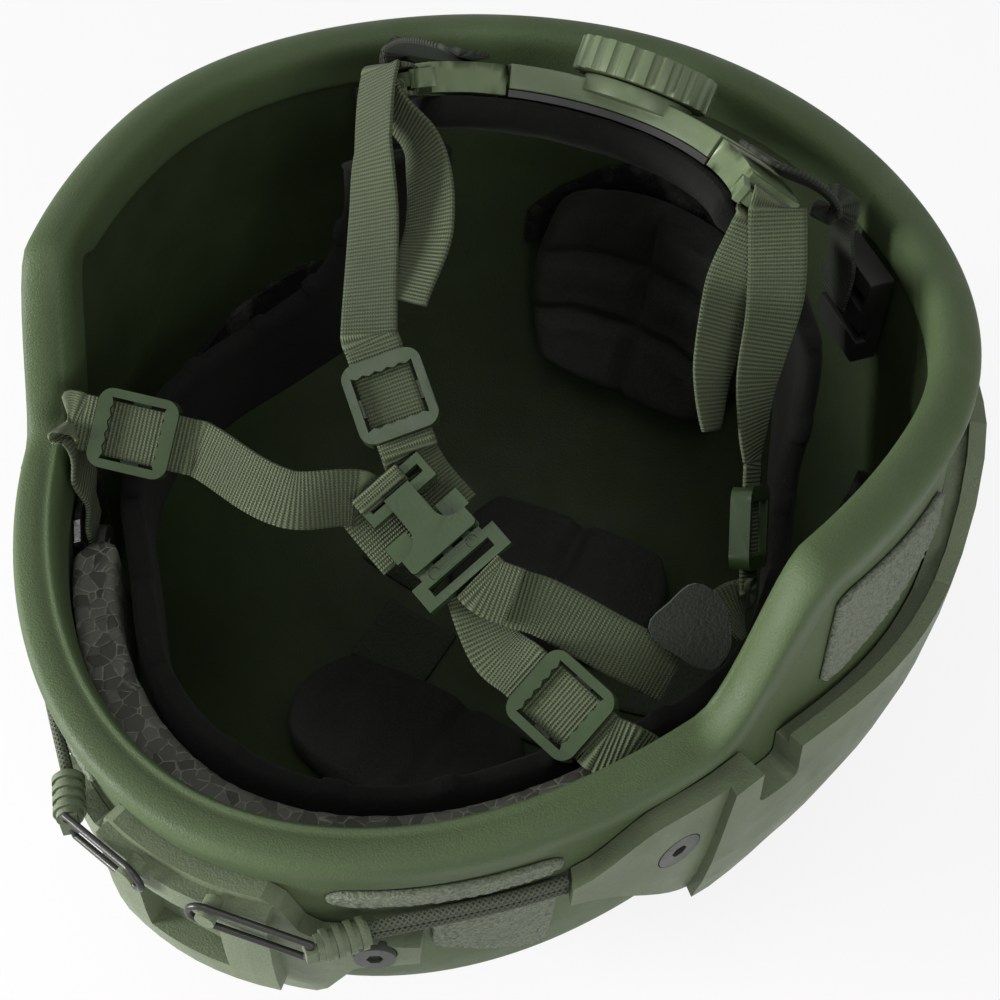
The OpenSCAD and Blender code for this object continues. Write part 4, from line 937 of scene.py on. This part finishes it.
# Lining of the rear cradle
LINING = [(-0.5, 1), (1.5, 0), (16, 0), (18, 1), (18.6, 4), (17, 7), (13, 8.4), (4, 8.4), (0.5, 7), (-1.2, 4)]
section = spline([vec(a, b) for a, b in LINING + LINING[:1]], 5)[:-1]
LINING_STEPS, LINING_HALF, MID_U, MID_V = 96, 62, 8.7, 4.2
rings = []
for i in range(LINING_STEPS + 1):
    t = i / LINING_STEPS
    f = -LINING_HALF + 2 * LINING_HALF * t
    end = math.sqrt(max(0.0, 1 - max(0.0, (abs(2 * t - 1) - 0.93) / 0.07) ** 2)) * 0.75 + 0.25
    rings.append([cradle_pt(f, MID_U + (c[0] - MID_U) * end, HOUSE_T + 0.5 + (MID_V + (c[1] - MID_V) * end)
                            + 0.25 * noise.noise(Vector((f / 7, c[0] / 6, c[1] / 6)))) for c in section])
verts, faces = rings_mesh(rings)
lining = finish_mesh("cradle_lining", verts, faces, "band_knit", "cradle_pad")

# Materials and softened edges on the rigid pieces that come from the solids
slot_of = {p["node"]: p["material_slot"] for p in frame["record"]["subparts"]}
FITTINGS = ("slider_a", "slider_b", "slider_c", "slider_d", "buckle_socket", "buckle_plug", "prong_right",
            "prong_left")
for name, o in nodes.items():
    mat = MAT["fitting" if name in FITTINGS else slot_of[name]]
    if not o.data.materials:
        o.data.materials.append(mat)
    for s in o.material_slots:
        s.link = "OBJECT"
        s.material = mat
    if name in BEVEL:
        weld = o.modifiers.new("weld", "WELD")
        weld.merge_threshold = 0.00001
        b = o.modifiers.new("edge", "BEVEL")
        b.width = BEVEL[name] / 1000
        b.segments = 3
        b.limit_method = "ANGLE"
        b.angle_limit = math.radians(35)
        b.harden_normals = False

# Floor, light and camera
def seen(nt):
    """1 where a ray from the camera, a reflection or a clear material arrives, otherwise 0."""
    rays = nt.nodes.new("ShaderNodeLightPath").outputs
    direct = math_node(nt, "MAXIMUM", rays["Is Camera Ray"], rays["Is Glossy Ray"])
    return math_node(nt, "MAXIMUM", direct, rays["Is Transmission Ray"])


floor = bpy.data.meshes.new("floor")
floor.from_pydata([(-3, -3, 0), (3, -3, 0), (3, 3, 0), (-3, 3, 0)], [], [(0, 1, 2, 3)])
floor_o = bpy.data.objects.new("floor", floor)
bpy.context.scene.collection.objects.link(floor_o)
m, nt, b = material("floor_white", 0.9, (0.86, 0.86, 0.86))
floor.materials.append(m)
glow = nt.nodes.new("ShaderNodeEmission")
glow.inputs["Color"].default_value = (1, 1, 1, 1)
blend = nt.nodes.new("ShaderNodeMixShader")
nt.links.new(math_node(nt, "MULTIPLY", seen(nt), 0.85), blend.inputs[0])
nt.links.new(b.outputs[0], blend.inputs[1])
nt.links.new(glow.outputs[0], blend.inputs[2])
nt.links.new(blend.outputs[0], nt.nodes["Material Output"].inputs["Surface"])

WORLD_LIGHT = 0.17
world = bpy.data.worlds.new("studio")
bpy.context.scene.world = world
world.use_nodes = True
nt = world.node_tree
back = nt.nodes["Background"]
back.inputs["Color"].default_value = (1, 1, 1, 1)
nt.links.new(span(nt, seen(nt), 0, 1, WORLD_LIGHT, 1.0), back.inputs["Strength"])


def lamp(name, at, target, size, watts):
    l = bpy.data.lights.new(name, "AREA")
    l.shape = "DISK"
    l.size = size
    l.energy = watts
    o = bpy.data.objects.new(name, l)
    o.location = at
    o.rotation_euler = (Vector(target) - Vector(at)).to_track_quat("-Z", "Y").to_euler()
    bpy.context.scene.collection.objects.link(o)


lamp("key", (-1.2, -1.0, 0.4), (0, 0, 0.10), 0.6, 44)
lamp("top", (0.2, -0.4, 1.7), (0, 0, 0.1), 0.9, 7)
lamp("side", (1.2, -0.9, 0.8), (0, 0, 0.1), 0.8, 10)

# The photograph's view: azimuth, elevation and roll in degrees, distance in metres
AZ, EL, ROLL, DIST = 29.41, 50.79, -0.64, 0.5277
away = Vector((sind(AZ) * cosd(EL), -cosd(AZ) * cosd(EL), sind(EL)))
level = (-away).cross(Vector((0, 0, 1))).normalized()
up = level.cross(-away)
right = level * cosd(ROLL) + up * sind(ROLL)
up = up * cosd(ROLL) - level * sind(ROLL)
cam = bpy.data.cameras.new("camera")
cam.lens = 68.371
cam.sensor_width = 36
cam.clip_start = 0.01
cam_o = bpy.data.objects.new("camera", cam)
at = Vector((0.0122, 0.0025, 0.120)) + away * DIST
cam_o.matrix_world = Matrix(((right.x, up.x, away.x, at.x), (right.y, up.y, away.y, at.y),
                             (right.z, up.z, away.z, at.z), (0, 0, 0, 1)))
bpy.context.scene.collection.objects.link(cam_o)
bpy.context.scene.camera = cam_o
bpy.context.scene.view_settings.view_transform = "Standard"
